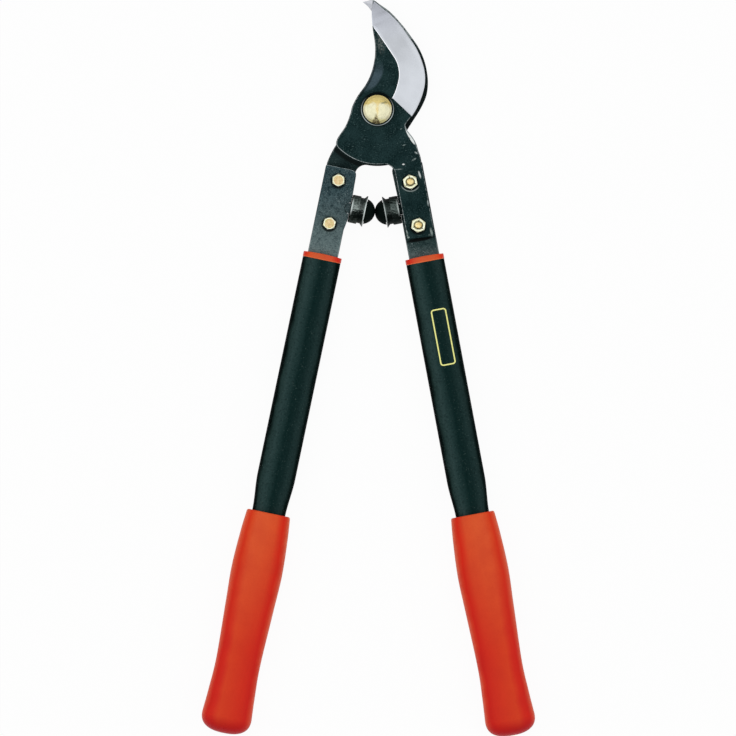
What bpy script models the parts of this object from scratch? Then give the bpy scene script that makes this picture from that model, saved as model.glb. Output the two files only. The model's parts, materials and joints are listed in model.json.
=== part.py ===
"""Bypass lopper, lying on its back with the jaw shut.

Metres, +Z up. The pivot's axis is the Z axis, the blade tip points along +Y and the
handles run down along -Y. The tool lies on the end of its pivot bolt and on both
grips, so the origin is the middle of the bolt's flat end. Two layers of plate make
the tool: the cutting blade and the left strap in front, the hook blade and the
right strap behind.
"""

import math

import bmesh
import bpy
import numpy as np
from mathutils import Matrix, Vector

# Gaps and layers
SEAT_GAP = 0.0003            # between faces that rest on each other
FORGING_THICK = 0.0050       # both blades
STRAP_THICK = 0.0050         # both straps
GRIP_DEPTH = 0.0320          # deepest part of a grip, which lies on the table

# Handle lines, measured from the pivot
SPLAY = math.radians(11.22)  # of each handle from straight down
LEFT_OFFSET = 0.0193         # from the pivot square to the left handle's line
RIGHT_OFFSET = 0.0154

# Blades
BLADE_LENGTH = 0.0883        # pivot to the blade's tip
HUB_RADIUS = 0.0195
LOWER_HUB_RADIUS = 0.0207    # of the cutting blade's hub, where it runs into the lower spine
BLADE_HEEL_RADIUS = 0.0451   # the blades' rounded lower ends, about the pivot
HOOK_HEEL_RADIUS = 0.0463
BLADE_CROTCH_FILLET = 0.0088 # between a heel and its tang
HOOK_CROTCH_FILLET = 0.0088
EDGE_LAND = 0.0004           # thickness left at the cutting edge
HOOK_LAND = 0.0015           # thickness left at the hook's shearing edge
HOOK_BEVEL_WIDTH = 0.0070
CUT_CLEAR = 0.0040           # height of a cutting tool above the face that it cuts
CUTTER_OVERRUN = 0.0004      # of a grinding cut past the corners that it ends at
GRIND_OVERRUN_SHARE = 0.15   # of a grinding cut past its two lines, as a part of its width
SHARP_REACH = 0.0012         # an underside edge this near a cutting edge stays sharp
SCOOP_RADIUS = 0.0126        # thumb scoop in the spine, on the face
SCOOP_DEPTH = 0.0008
SCOOP_RIM = 0.0019           # of the scoop's tool past the circle that it cuts
FORGING_ROUND = 0.0005       # broken edges of the forgings

# Tangs and lap joints
TANG_OUTER = 0.0120          # from the handle line out to the tang's outer side
BLADE_TANG_INNER = 0.0110
HOOK_TANG_INNER = 0.0122
TANG_SKEW = 0.0009           # the sheared end is a little out of square
TANG_CORNER = 0.0018
TANG_RUN_IN = 0.0045         # past the heel, where a tang's outer side becomes straight
BOLT_BELOW_STRAP_TOP = 0.0107
BOLT_SPACING = 0.0360
TANG_BELOW_BOLT = 0.0108     # from the lower bolt to the tang's lower end
BOLT_DIAMETER = 0.0060
BOLT_FLATS = 0.0100
BOLT_HEAD = 0.0040
BOLT_EXTRA = 0.0012          # thread that stands out of the nut
BOLT_TIP_ROUND = 0.0009
NUT_FLATS = 0.0110
NUT_HEIGHT = 0.0052
HEX_CHAMFER_ANGLE = math.radians(28.0)
HEX_CHAMFER_SHARE = 0.97     # a hexagon's flat end circle, as a part of its width over flats
HEX_TOOL_SHARE = 1.01        # the chamfering tool, as a part of the width over corners
HEX_TURNS = {"right_nut_upper": SPLAY, "right_nut_lower": math.radians(-7.0),   # as tightened
             "left_bolt_lower": math.radians(-16.0)}

# Pivot
PIVOT_DIAMETER = 0.0120
PIVOT_HEAD_DIAMETER = 0.0240
PIVOT_HEAD_EDGE = 0.0014
PIVOT_HEAD_DOME = 0.0034
PIVOT_WASHER_DIAMETER = 0.0280
PIVOT_WASHER_THICK = 0.0015
WASHER_EDGE = 0.0003
PIVOT_NUT_FLATS = 0.0190
PIVOT_END_CHAMFER = 0.0009
PIVOT_END_REACH = 0.0015     # thread that stands out of the pivot nut

# Straps
HEEL_CLEARANCE = 0.0062      # between the blades' heels and the left strap's upper end
RIGHT_STRAP_RISE = 0.0041    # the right strap reaches this much higher
STRAP_CORNER = 0.0016
STRAP_INNER_CORNER = 0.005   # the upper corner on the inner side
STRAP_SHOULDER = 0.0007      # the inner side stands out this much above the lobe
STRAP_ROUND = 0.0004
STRAP_GRIPPED = 0.0480       # length of strap inside the tube

# Bumpers
BUMPER_BELOW_BOLT = 0.0205   # from the upper bolt down to the bumper
BUMPER_MEETING_X = -0.00115
LOBE_HALF_LENGTH = 0.0092
LOBE_FILLET = 0.0070
LOBE_LOWER_FILLET = 0.0023
LOBE_FOOT = 0.0184           # from the bumper down to where the lobe ends
CUP_LENGTH = 0.0123
CUP_RADIUS = 0.0115
CUP_BODY_LENGTH = 0.0068
CUP_FLOOR = 0.0035
CUP_EDGE_ROUND = 0.0017
NECK_RADIUS = 0.0105
LIP_RADIUS = 0.0128
LIP_FLARE = 0.0026
LIP_EDGE = 0.0004
CUP_BORE = 0.0085
NOSE_MOUTH_RADIUS = 0.0104
NOSE_LENGTH = 0.0081         # rubber that stands out of the lip
STUD_DIAMETER = 0.0060
STUD_HEAD_RADIUS = 0.0045
STUD_INTO_NOSE = 0.0060
STUD_ROOT = 0.0008           # of the round shank inside its flat head

# Collars, tubes and grips, along the handle line from the pivot
COLLAR_BELOW_TANG = 0.0155   # from the tang's lower end down to the collar
COLLAR_BAND = 0.0040
COLLAR_CROWN = 0.0011
COLLAR_SPIGOT = 0.0340
COLLAR_SPIGOT_WALL = 0.00135 # beside the strap
TUBE_WIDTH = 0.0313
TUBE_DEPTH = 0.0190
TUBE_WALL = 0.0012
TUBE_SQUARENESS = 2.5
NECKED_WIDTH = 0.0275        # where the tube is drawn in for the grip
NECKED_DEPTH = 0.0170
NECKING_LENGTH = 0.0300
GRIP_BELOW_COLLAR = 0.2145   # from the collar's start down to the grip's mouth
GRIP_LENGTH = 0.1834
GRIP_SLIP = 0.0007           # the left grip is pushed on this much less, the right this much more
GRIP_MOUTH_ROUND = 0.0014
GRIP_BORE_CHAMFER = 0.0006
GRIP_WALL_END = 0.0105       # solid rubber past the tube's end
GRIP_SQUARENESS = 2.3
BUTT_FULLNESS = 2.5          # 2 is a round butt, more is a flatter one
BUTT_STATIONS = (0.36, 0.60, 0.80, 0.93)   # along the rounded butt, as parts of its length

# Grip widths and depths along its length: distance from the mouth, width, depth
GRIP_MOUTH = (0.0000, 0.0358, 0.0272)
GRIP_SHOULDER = (0.0190, 0.0393, 0.0296)
GRIP_SWELL = (0.0480, 0.0420, GRIP_DEPTH)
GRIP_PALM = (0.0780, 0.0399, 0.0307)
GRIP_WAIST = (0.1240, 0.0366, 0.0282)
GRIP_FLARE = (0.1500, 0.0385, 0.0298)
GRIP_BUTT = (0.1690, 0.0410, GRIP_DEPTH)
GRIP_DRIFT = 0.0006          # the rear half leans in this much

# Cutting edge, from its lower corner to the tip, as parts of the blade's length
EDGE_SHARES = ((0.318, -0.062), (0.364, 0.017), (0.410, 0.128), (0.435, 0.240), (0.432, 0.350),
              (0.401, 0.461), (0.351, 0.571), (0.277, 0.680), (0.198, 0.785), (0.104, 0.883),
              (0.046, 0.926), (-0.044, 1.000))

# Inner end of the grind, paired with the edge by its length, past the spine at the tip
GRIND_SHARES = ((0.140, 0.104), (0.173, 0.181), (0.200, 0.293), (0.196, 0.378), (0.169, 0.459),
               (0.096, 0.569), (0.019, 0.679), (-0.036, 0.752), (-0.105, 0.815), (-0.170, 0.880))

# Spine above the hub, as parts of the blade's length, down from the tip
SPINE_SHARES = ((-0.044, 1.000), (-0.060, 0.945), (-0.064, 0.890), (-0.053, 0.752), (-0.032, 0.623),
               (-0.027, 0.540), (-0.033, 0.456), (-0.058, 0.345), (-0.107, 0.234))

# Spine below the hub and the blade's neck, as parts of the heel radius
LOWER_SPINE_SHARES = ((-0.491, -0.089), (-0.572, -0.307), (-0.713, -0.525), (-0.743, -0.644))
NECK_SHARES = ((0.523, -0.252), (0.511, -0.302), (0.549, -0.383), (0.649, -0.510),
               (0.713, -0.629), (0.743, -0.727), (0.784, -0.836))

# Hook: outer side from the beak down, then its shearing edge from the throat up
HOOK_OUTER_SHARES = ((-0.148, 0.989), (-0.095, 1.002), (-0.050, 1.011), (0.004, 0.975), (0.107, 0.902),
                    (0.212, 0.792), (0.299, 0.682), (0.375, 0.572), (0.426, 0.461), (0.454, 0.351),
                    (0.464, 0.240), (0.450, 0.129), (0.403, 0.017), (0.336, -0.094), (0.289, -0.169))
HOOK_HEEL_SHARES = ((0.518, -0.388), (0.534, -0.456), (0.600, -0.541), (0.651, -0.623))
HOOK_INNER_SHARES = ((0.166, 0.222), (0.212, 0.292), (0.232, 0.385), (0.216, 0.490), (0.165, 0.610),
                    (0.092, 0.725), (0.006, 0.832), (-0.065, 0.909), (-0.104, 0.955), (-0.148, 0.989))
HOOK_BACK_SHARES = ((-0.830, -0.832), (-0.776, -0.724), (-0.708, -0.610), (-0.613, -0.476),
                    (-0.479, -0.294), (-0.417, -0.118))

# Angles about the pivot where heel arcs and hub arcs end
BLADE_HEEL_END = math.radians(225.0)
HOOK_HEEL_END = math.radians(313.5)
HOOK_HUB_START = math.radians(190.0)
HOOK_HUB_END = math.radians(62.0)
HUB_POINTS = (math.radians(147.0), math.radians(174.0))

# Levels of the two layers
MID = GRIP_DEPTH / 2
FRONT_BASE = MID + SEAT_GAP / 2
BACK_TOP = MID - SEAT_GAP / 2
FRONT_BLADE_TOP = FRONT_BASE + FORGING_THICK
FRONT_STRAP_TOP = FRONT_BASE + STRAP_THICK
BACK_BLADE_BASE = BACK_TOP - FORGING_THICK
BACK_STRAP_BASE = BACK_TOP - STRAP_THICK

# Places along a handle's line, down from the pivot
STRAP_TOP = HOOK_HEEL_RADIUS + HEEL_CLEARANCE
UPPER_BOLT = STRAP_TOP + BOLT_BELOW_STRAP_TOP
LOWER_BOLT = UPPER_BOLT + BOLT_SPACING
TANG_LENGTH = LOWER_BOLT + TANG_BELOW_BOLT
BUMPER_STATION = UPPER_BOLT + BUMPER_BELOW_BOLT
COLLAR_START = TANG_LENGTH + COLLAR_BELOW_TANG
GRIP_START = COLLAR_START + GRIP_BELOW_COLLAR
BOLT_STATIONS = {"upper": UPPER_BOLT, "lower": LOWER_BOLT}

# A strap fills the collar's spigot, which fills the tube
SPIGOT_WIDTH = TUBE_WIDTH - 2 * TUBE_WALL - 2 * SEAT_GAP
SPIGOT_DEPTH = TUBE_DEPTH - 2 * TUBE_WALL - 2 * SEAT_GAP
STRAP_HALF_WIDTH = SPIGOT_WIDTH / 2 - COLLAR_SPIGOT_WALL - SEAT_GAP
SCOOP_CENTRE_SHARES = (-0.091, 0.317)   # of the scoop, as parts of the blade's length

LEFT, RIGHT = -1, 1
NAMES = {LEFT: "left", RIGHT: "right"}
OFFSETS = {LEFT: LEFT_OFFSET, RIGHT: RIGHT_OFFSET}
HEEL_RADII = {LEFT: HOOK_HEEL_RADIUS, RIGHT: BLADE_HEEL_RADIUS}
CROTCH_FILLETS = {LEFT: HOOK_CROTCH_FILLET, RIGHT: BLADE_CROTCH_FILLET}


# Points in the plane of the plates

def handle_point(side, outward, along):
    """A point beside a handle's line: outward from the line, and along it from the pivot."""
    reach = OFFSETS[side] + outward
    return (side * (reach * math.cos(SPLAY) + along * math.sin(SPLAY)),
            reach * math.sin(SPLAY) - along * math.cos(SPLAY))


def scaled(shape, size):
    return [(x * size, y * size) for x, y in shape]


def polar(radius, angle):
    return (radius * math.cos(angle), radius * math.sin(angle))


def arc(centre, radius, start, end, steps):
    """Points of a round stretch, both ends included."""
    angles = np.linspace(start, end, steps + 1)
    return [(centre[0] + radius * math.cos(a), centre[1] + radius * math.sin(a)) for a in angles]


def smooth_through(points, steps):
    """A Catmull-Rom curve through the points, with the given steps to each span."""
    p = np.array(points, dtype=float)
    p = np.vstack([2 * p[0] - p[1], p, 2 * p[-1] - p[-2]])
    t = np.arange(steps)[:, None] / steps
    curve = []
    for a, b, c, d in zip(p[:-3], p[1:-2], p[2:-1], p[3:]):
        span = 0.5 * (2 * b + (c - a) * t + (2 * a - 5 * b + 4 * c - d) * t ** 2
                      + (3 * b - a - 3 * c + d) * t ** 3)
        curve += [tuple(q) for q in span]
    return curve + [tuple(p[-2])]


def spaced(points, count):
    """The same line with its points spread evenly along its length."""
    p = np.array(points)
    run = np.concatenate([[0.0], np.cumsum(np.linalg.norm(np.diff(p, axis=0), axis=1))])
    at = np.linspace(0.0, run[-1], count)
    return np.column_stack([np.interp(at, run, p[:, i]) for i in range(p.shape[1])])


def lengthened(line, extra):
    """The line with its first and last points pushed outward along it."""
    line = np.array(line)
    line[0] += extra * (line[0] - line[1]) / np.linalg.norm(line[0] - line[1])
    line[-1] += extra * (line[-1] - line[-2]) / np.linalg.norm(line[-1] - line[-2])
    return line


def rounded(corners, steps=3):
    """An open line of corners (x, y, radius) with each inner corner rounded to its radius."""
    line = [corners[0][:2]]
    for (ax, ay, _), (bx, by, radius), (cx, cy, _) in zip(corners[:-2], corners[1:-1], corners[2:]):
        a, b, c = Vector((ax, ay)), Vector((bx, by)), Vector((cx, cy))
        u, v = (a - b).normalized(), (c - b).normalized()
        turn = u.angle(v)
        nearly_straight = math.pi - turn < math.radians(2)
        if radius == 0 or nearly_straight:
            line.append((bx, by))
            continue
        most = 0.45 * min((a - b).length, (c - b).length)
        reach = min(radius / math.tan(turn / 2), most)
        start, end = b + u * reach, b + v * reach
        for i in range(steps + 1):
            t = i / steps
            line.append(tuple(start * (1 - t) ** 2 + b * 2 * t * (1 - t) + end * t ** 2))
    return line + [corners[-1][:2]]


# Building blocks

def collection(name):
    made = bpy.data.collections.new(name)
    bpy.context.scene.collection.children.link(made)
    return made


def finish(name, red, green, blue, metallic, roughness):
    """A plain material from screen colours, 0 to 255."""
    linear = [((c / 255 + 0.055) / 1.055) ** 2.4 for c in (red, green, blue)]
    made = bpy.data.materials.new(name)
    made.use_nodes = True
    shader = made.node_tree.nodes["Principled BSDF"]
    shader.inputs["Base Color"].default_value = (*linear, 1.0)
    shader.inputs["Metallic"].default_value = metallic
    shader.inputs["Roughness"].default_value = roughness
    return made


def empty(name, parent=None):
    made = bpy.data.objects.new(name, None)
    made.parent = parent
    PARTS.objects.link(made)
    return made


def place(name, mesh, material=None, parent=None, location=(0, 0, 0), rotation=(0, 0, 0)):
    """A piece of the tool, or without a material a hidden cutting tool."""
    made = bpy.data.objects.new(name, mesh)
    made.location = location
    made.rotation_euler = rotation
    made.parent = parent
    if material:
        mesh.materials.clear()
        mesh.materials.append(material)
        PARTS.objects.link(made)
    else:
        made.hide_render = True
        made.display_type = "WIRE"
        CUTTERS.objects.link(made)
    return made


def combine(target, tool, operation="DIFFERENCE"):
    modifier = target.modifiers.new(tool.name, "BOOLEAN")
    modifier.operation = operation
    modifier.solver = "EXACT"
    modifier.object = tool


def plate_mesh(name, outline, thickness, edge_round, sharp_line=None):
    """A flat plate centred on z = 0, its edges broken except along a sharp line's underside."""
    curve = bpy.data.curves.new(name, "CURVE")
    curve.dimensions = "2D"
    curve.fill_mode = "BOTH"
    curve.extrude = thickness / 2
    spline = curve.splines.new("POLY")
    spline.points.add(len(outline) - 1)
    for point, (x, y) in zip(spline.points, outline):
        point.co = (x, y, 0, 1)
    spline.use_cyclic_u = True
    guide = bpy.data.objects.new(name, curve)
    CUTTERS.objects.link(guide)
    graph = bpy.context.evaluated_depsgraph_get()
    mesh = bpy.data.meshes.new_from_object(guide.evaluated_get(graph))
    bpy.data.objects.remove(guide)
    bpy.data.curves.remove(curve)

    shape = bmesh.new()
    shape.from_mesh(mesh)
    bmesh.ops.remove_doubles(shape, verts=shape.verts, dist=1e-6)
    bmesh.ops.dissolve_limit(shape, angle_limit=math.radians(0.5), verts=shape.verts,
                             edges=[e for e in shape.edges if len(e.link_faces) == 2
                                    and all(abs(f.normal.z) > 0.9 for f in e.link_faces)])
    bmesh.ops.recalc_face_normals(shape, faces=shape.faces)
    rims = [e for e in shape.edges
            if sorted(round(abs(f.normal.z)) for f in e.link_faces) == [0, 1]
            and not under_line(e, sharp_line)]
    bmesh.ops.bevel(shape, geom=rims, offset=edge_round, segments=1, profile=0.5,
                    affect="EDGES", clamp_overlap=True)
    shape.to_mesh(mesh)
    shape.free()
    return mesh


def under_line(edge, line):
    """True for an edge of the underside that follows the given line."""
    middle = (edge.verts[0].co + edge.verts[1].co) / 2
    if line is None or middle.z > 0:
        return False
    return np.min(np.hypot(line[:, 0] - middle.x, line[:, 1] - middle.y)) < SHARP_REACH


def turned_object(name, profile, material=None, steps=24, closed=False, **where):
    """A body turned about its own Z from (radius, height) points, listed down the outer side."""
    mesh = bpy.data.meshes.new(name)
    count = len(profile)
    edges = [(i, i + 1) for i in range(count - 1)] + ([(count - 1, 0)] if closed else [])
    mesh.from_pydata([(r, 0, z) for r, z in profile], edges, [])
    made = place(name, mesh, material, **where)
    screw = made.modifiers.new("turn", "SCREW")
    screw.axis = "Z"
    screw.angle = 2 * math.pi
    screw.steps = steps
    screw.render_steps = steps
    screw.use_merge_vertices = True
    screw.merge_threshold = 1e-5
    screw.use_smooth_shade = True
    return made


def hex_mesh(name, flats, height):
    """A hexagon bar with its foot on z = 0."""
    mesh = bpy.data.meshes.new(name)
    shape = bmesh.new()
    corner = flats / math.sqrt(3)
    bmesh.ops.create_cone(shape, cap_ends=True, segments=6, radius1=corner, radius2=corner,
                          depth=height, matrix=Matrix.Translation((0, 0, height / 2)))
    shape.to_mesh(mesh)
    shape.free()
    return mesh


def cylinder_mesh(name, radius, height, segments=24):
    """A round bar along Z with its middle at the origin."""
    mesh = bpy.data.meshes.new(name)
    shape = bmesh.new()
    bmesh.ops.create_cone(shape, cap_ends=True, segments=segments, radius1=radius,
                          radius2=radius, depth=height)
    shape.to_mesh(mesh)
    shape.free()
    return mesh


def loft_mesh(name, rings, close_ends=True):
    """A skin over closed rings of equal point counts."""
    rings = np.asarray(rings)
    count, around = rings.shape[:2]
    faces = []
    for i in range(count - 1):
        for j in range(around):
            k = (j + 1) % around
            faces.append((i * around + j, i * around + k, (i + 1) * around + k, (i + 1) * around + j))
    if close_ends:
        faces.append(tuple(range(around)))
        faces.append(tuple((count - 1) * around + j for j in range(around)))
    mesh = bpy.data.meshes.new(name)
    mesh.from_pydata([tuple(p) for p in rings.reshape(-1, 3)], [], faces)
    shape = bmesh.new()
    shape.from_mesh(mesh)
    bmesh.ops.recalc_face_normals(shape, faces=shape.faces)
    shape.to_mesh(mesh)
    shape.free()
    mesh.shade_smooth()
    return mesh


def oval_ring(along, width, depth, squareness, across=0.0, around=24):
    """A flattened oval square to the handle line: |x/a|^n + |z/b|^n = 1."""
    a = np.linspace(0.0, 2 * math.pi, around, endpoint=False)
    power = 2 / squareness
    x = across + width / 2 * np.sign(np.cos(a)) * np.abs(np.cos(a)) ** power
    z = MID + depth / 2 * np.sign(np.sin(a)) * np.abs(np.sin(a)) ** power
    return np.column_stack([x, np.full(around, -along), z])


# Blades

def tang_line(side, inner, start_outer, start_inner):
    """The tang's sides and end, from its outer side round to its inner side."""
    corners = [(TANG_OUTER, start_outer, 0.0), (TANG_OUTER, TANG_LENGTH + TANG_SKEW, TANG_CORNER),
               (-inner, TANG_LENGTH - TANG_SKEW, TANG_CORNER), (-inner, start_inner, 0.0)]
    return [handle_point(side, s, t) for s, t in rounded(corners)]


def crotch(side, inner):
    """Fillet between the tang's inner side and the heel arc, from the tang to the heel."""
    fillet = CROTCH_FILLETS[side]
    reach = OFFSETS[side] - inner - fillet
    along = math.sqrt((HEEL_RADII[side] + fillet) ** 2 - reach ** 2)
    centre = handle_point(side, reach - OFFSETS[side], along)
    on_tang = handle_point(side, -inner, along)
    start = math.atan2(on_tang[1] - centre[1], on_tang[0] - centre[0])
    to_heel = math.atan2(-centre[1], -centre[0])
    turn = (to_heel - start + math.pi) % (2 * math.pi) - math.pi
    heel_angle = math.atan2(centre[1], centre[0]) % (2 * math.pi)
    return arc(centre, fillet, start, start + turn, 8), heel_angle, along


def cutting_edge_line():
    return smooth_through(scaled(EDGE_SHARES, BLADE_LENGTH), 3)


def grind_cutter(name, edge, inner, edge_level, face_level, beyond):
    """A wedge that removes metal between an edge line and the inner end of its grind."""
    edge = lengthened(edge, CUTTER_OVERRUN)
    rise = (face_level - edge_level) * GRIND_OVERRUN_SHARE
    rings = []
    for e, i in zip(edge, inner):
        past = (i - e) * GRIND_OVERRUN_SHARE
        low, high = e - past, i + past
        rings.append([(*low, edge_level - rise), (*high, face_level + rise),
                      (*high, beyond), (*low, beyond)])
    return place(name, loft_mesh(name, rings))


def cutting_blade(material, pivot):
    edge = cutting_edge_line()
    fillet, heel_angle, along = crotch(RIGHT, BLADE_TANG_INNER)
    neck = smooth_through([edge[0]] + scaled(NECK_SHARES, BLADE_HEEL_RADIUS)
                          + [handle_point(RIGHT, TANG_OUTER, BLADE_HEEL_RADIUS + TANG_RUN_IN)], 3)
    heel = arc((0, 0), BLADE_HEEL_RADIUS, heel_angle, BLADE_HEEL_END, 16)
    spine = smooth_through([heel[-1]] + scaled(LOWER_SPINE_SHARES, BLADE_HEEL_RADIUS)[::-1]
                           + [polar(LOWER_HUB_RADIUS, HUB_POINTS[1]), polar(HUB_RADIUS, HUB_POINTS[0])]
                           + scaled(SPINE_SHARES, BLADE_LENGTH)[::-1], 3)
    outline = (edge[::-1][:-1] + neck[:-1]
               + tang_line(RIGHT, BLADE_TANG_INNER, BLADE_HEEL_RADIUS + TANG_RUN_IN, along)[:-1]
               + fillet[:-1] + heel[:-1] + spine[:-1])
    mesh = plate_mesh("cutting_blade", outline, FORGING_THICK, FORGING_ROUND, np.array(edge))
    blade = place("cutting_blade", mesh, material, pivot, (0, 0, FRONT_BASE + FORGING_THICK / 2))

    stations = 18
    grind = grind_cutter("cutting_grind", spaced(edge, stations),
                         spaced(smooth_through(scaled(GRIND_SHARES, BLADE_LENGTH), 6), stations),
                         FRONT_BASE + EDGE_LAND, FRONT_BLADE_TOP, FRONT_BLADE_TOP + CUT_CLEAR)
    combine(blade, grind)
    centre = scaled([SCOOP_CENTRE_SHARES], BLADE_LENGTH)[0]
    scoop = turned_object("spine_scoop", lens_profile(SCOOP_RADIUS, SCOOP_DEPTH), steps=36,
                          location=(*centre, FRONT_BLADE_TOP))
    combine(blade, scoop)
    combine(blade, hole_cutter("blade_pivot_hole", (0, 0), PIVOT_DIAMETER))
    for name, along in BOLT_STATIONS.items():
        combine(blade, hole_cutter(f"blade_hole_{name}", handle_point(RIGHT, 0, along), BOLT_DIAMETER))
    return blade


def lens_profile(radius, depth):
    """A shallow ball end, deepest on its axis and cutting a circle of the radius at z = 0."""
    ball = (radius ** 2 + depth ** 2) / (2 * depth)
    rim = radius + SCOOP_RIM
    reach = np.linspace(rim, 0.0, 7)
    sole = [(r, ball - depth - math.sqrt(ball ** 2 - r ** 2)) for r in reach]
    return [(0, CUT_CLEAR), (rim, CUT_CLEAR)] + sole


def hole_cutter(name, centre, diameter):
    """A clearance hole through everything at a point of the plates."""
    radius = diameter / 2 + SEAT_GAP
    return place(name, cylinder_mesh(name, radius, 2 * GRIP_DEPTH), None, None, (*centre, MID))


def hook_blade(material):
    outer = smooth_through(scaled(HOOK_OUTER_SHARES, BLADE_LENGTH)
                           + scaled(HOOK_HEEL_SHARES, HOOK_HEEL_RADIUS), 3)
    fillet, heel_angle, along = crotch(LEFT, HOOK_TANG_INNER)
    heel = arc((0, 0), HOOK_HEEL_RADIUS, HOOK_HEEL_END, heel_angle, 16)
    tang = tang_line(LEFT, HOOK_TANG_INNER, HOOK_HEEL_RADIUS + TANG_RUN_IN, along)
    back = smooth_through([tang[0]] + scaled(HOOK_BACK_SHARES, HOOK_HEEL_RADIUS), 3)
    hub = arc((0, 0), HUB_RADIUS, HOOK_HUB_START, HOOK_HUB_END, 12)
    shear = smooth_through([hub[-1]] + scaled(HOOK_INNER_SHARES, BLADE_LENGTH), 4)
    outline = (outer + heel + fillet[::-1][1:] + tang[::-1][1:] + back[1:] + hub[:-1] + shear[:-1])
    mesh = plate_mesh("hook_blade", outline, FORGING_THICK, FORGING_ROUND, np.array(shear))
    hook = place("hook_blade", mesh, material, None, (0, 0, BACK_BLADE_BASE + FORGING_THICK / 2))

    stations = 14
    line = spaced(shear, stations + 2)[2:]
    ahead = np.gradient(line, axis=0)
    ahead /= np.linalg.norm(ahead, axis=1)[:, None]
    inner = line + np.column_stack([ahead[:, 1], -ahead[:, 0]]) * HOOK_BEVEL_WIDTH
    combine(hook, grind_cutter("hook_bevel", line, inner, BACK_TOP - HOOK_LAND,
                               BACK_BLADE_BASE, BACK_BLADE_BASE - CUT_CLEAR))
    combine(hook, hole_cutter("hook_pivot_hole", (0, 0), PIVOT_DIAMETER))
    for name, along in BOLT_STATIONS.items():
        combine(hook, hole_cutter(f"hook_hole_{name}", handle_point(LEFT, 0, along), BOLT_DIAMETER))
    return hook


# Pivot

def pivot_stack(brass, black, zinc):
    """Bolt, two washers and nut, stacked along Z through both blades."""
    front_washer = FRONT_BLADE_TOP + SEAT_GAP
    head = front_washer + PIVOT_WASHER_THICK + SEAT_GAP
    back_washer = BACK_BLADE_BASE - SEAT_GAP - PIVOT_WASHER_THICK
    nut_top = back_washer - SEAT_GAP
    shank = PIVOT_DIAMETER / 2
    rim = PIVOT_HEAD_DIAMETER / 2

    crown = [(rim * math.sin(a), head + PIVOT_HEAD_EDGE + PIVOT_HEAD_DOME * math.cos(a))
             for a in np.linspace(0, math.pi / 2, 7)]
    turned_object("pivot_bolt", crown + [(rim, head), (shank, head), (shank, PIVOT_END_CHAMFER),
                                         (shank - PIVOT_END_CHAMFER, 0), (0, 0)], brass, 32)
    for name, base, metal in (("pivot_washer_front", front_washer, black),
                              ("pivot_washer_back", back_washer, zinc)):
        turned_object(name, washer_profile(PIVOT_WASHER_DIAMETER / 2, shank + SEAT_GAP, base,
                                           PIVOT_WASHER_THICK), metal, 28, True)
    height = nut_top - PIVOT_END_REACH
    nut = place("pivot_nut", hex_mesh("pivot_nut", PIVOT_NUT_FLATS, height), zinc, None,
                (0, 0, PIVOT_END_REACH))
    chamfer_both_ends(nut, PIVOT_NUT_FLATS, height)
    combine(nut, hole_cutter("pivot_nut_bore", (0, 0), PIVOT_DIAMETER))


def washer_profile(outer, bore, base, thick):
    edge = WASHER_EDGE
    return [(outer - edge, base + thick), (outer, base + thick - edge), (outer, base + edge),
            (outer - edge, base), (bore, base), (bore, base + thick)]


# Fasteners of the lap joints

def chamfer_both_ends(hexagon, flats, height, foot=True):
    """Turn the corners off a hexagon's top, and off its foot, with a coned bar round it."""
    flat = flats / 2 * HEX_CHAMFER_SHARE
    corner = flats / math.sqrt(3) * HEX_TOOL_SHARE
    fall = (corner - flat) * math.tan(HEX_CHAMFER_ANGLE)
    profile = [(0, height), (flat, height), (corner, height - fall)]
    profile += [(corner, fall), (flat, 0), (0, 0)] if foot else [(corner, -fall), (0, -fall)]
    name = hexagon.name + "_chamfer"
    drum = turned_object(name, profile, steps=12, location=hexagon.location,
                         rotation=hexagon.rotation_euler, parent=hexagon.parent)
    combine(hexagon, drum, "INTERSECT")


def lap_bolt(side, row, line, zinc):
    """A hexagon bolt whose head lies on the strap, and its nut on the tang."""
    name = f"{NAMES[side]}_bolt_{row}"
    along = BOLT_STATIONS[row]
    on_front = side == LEFT
    seat = FRONT_STRAP_TOP + SEAT_GAP if on_front else BACK_STRAP_BASE - SEAT_GAP
    tang_face = BACK_BLADE_BASE - SEAT_GAP if on_front else FRONT_BLADE_TOP + SEAT_GAP
    upright = -side * SPLAY
    nut_name = f"{NAMES[side]}_nut_{row}"
    head_turn, nut_turn = (upright + HEX_TURNS.get(piece, 0.0) for piece in (name, nut_name))
    flip = (0, 0, head_turn) if on_front else (math.pi, 0, head_turn)
    nut_flip = (math.pi, 0, nut_turn) if on_front else (0, 0, nut_turn)
    reach = abs(seat - tang_face) + NUT_HEIGHT + BOLT_EXTRA
    radius = BOLT_DIAMETER / 2

    bolt = place(name, hex_mesh(name, BOLT_FLATS, BOLT_HEAD), zinc, line, (0, -along, seat), flip)
    chamfer_both_ends(bolt, BOLT_FLATS, BOLT_HEAD, foot=False)
    tip = [(radius * math.sin(a), -reach + BOLT_TIP_ROUND * (1 - math.cos(a)))
           for a in np.linspace(math.pi / 2, 0, 5)]
    shank = turned_object(name + "_shank", [(0, BOLT_HEAD / 2), (radius, BOLT_HEAD / 2)] + tip,
                          steps=14, parent=line, location=(0, -along, seat), rotation=flip)
    combine(bolt, shank, "UNION")

    nut = place(nut_name, hex_mesh(nut_name, NUT_FLATS, NUT_HEIGHT), zinc, line,
                (0, -along, tang_face), nut_flip)
    chamfer_both_ends(nut, NUT_FLATS, NUT_HEIGHT)
    bore = place(nut_name + "_bore", cylinder_mesh(nut_name + "_bore", radius + SEAT_GAP,
                                                   4 * NUT_HEIGHT, 14),
                 None, line, (0, -along, tang_face))
    combine(nut, bore)


# Straps

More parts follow.
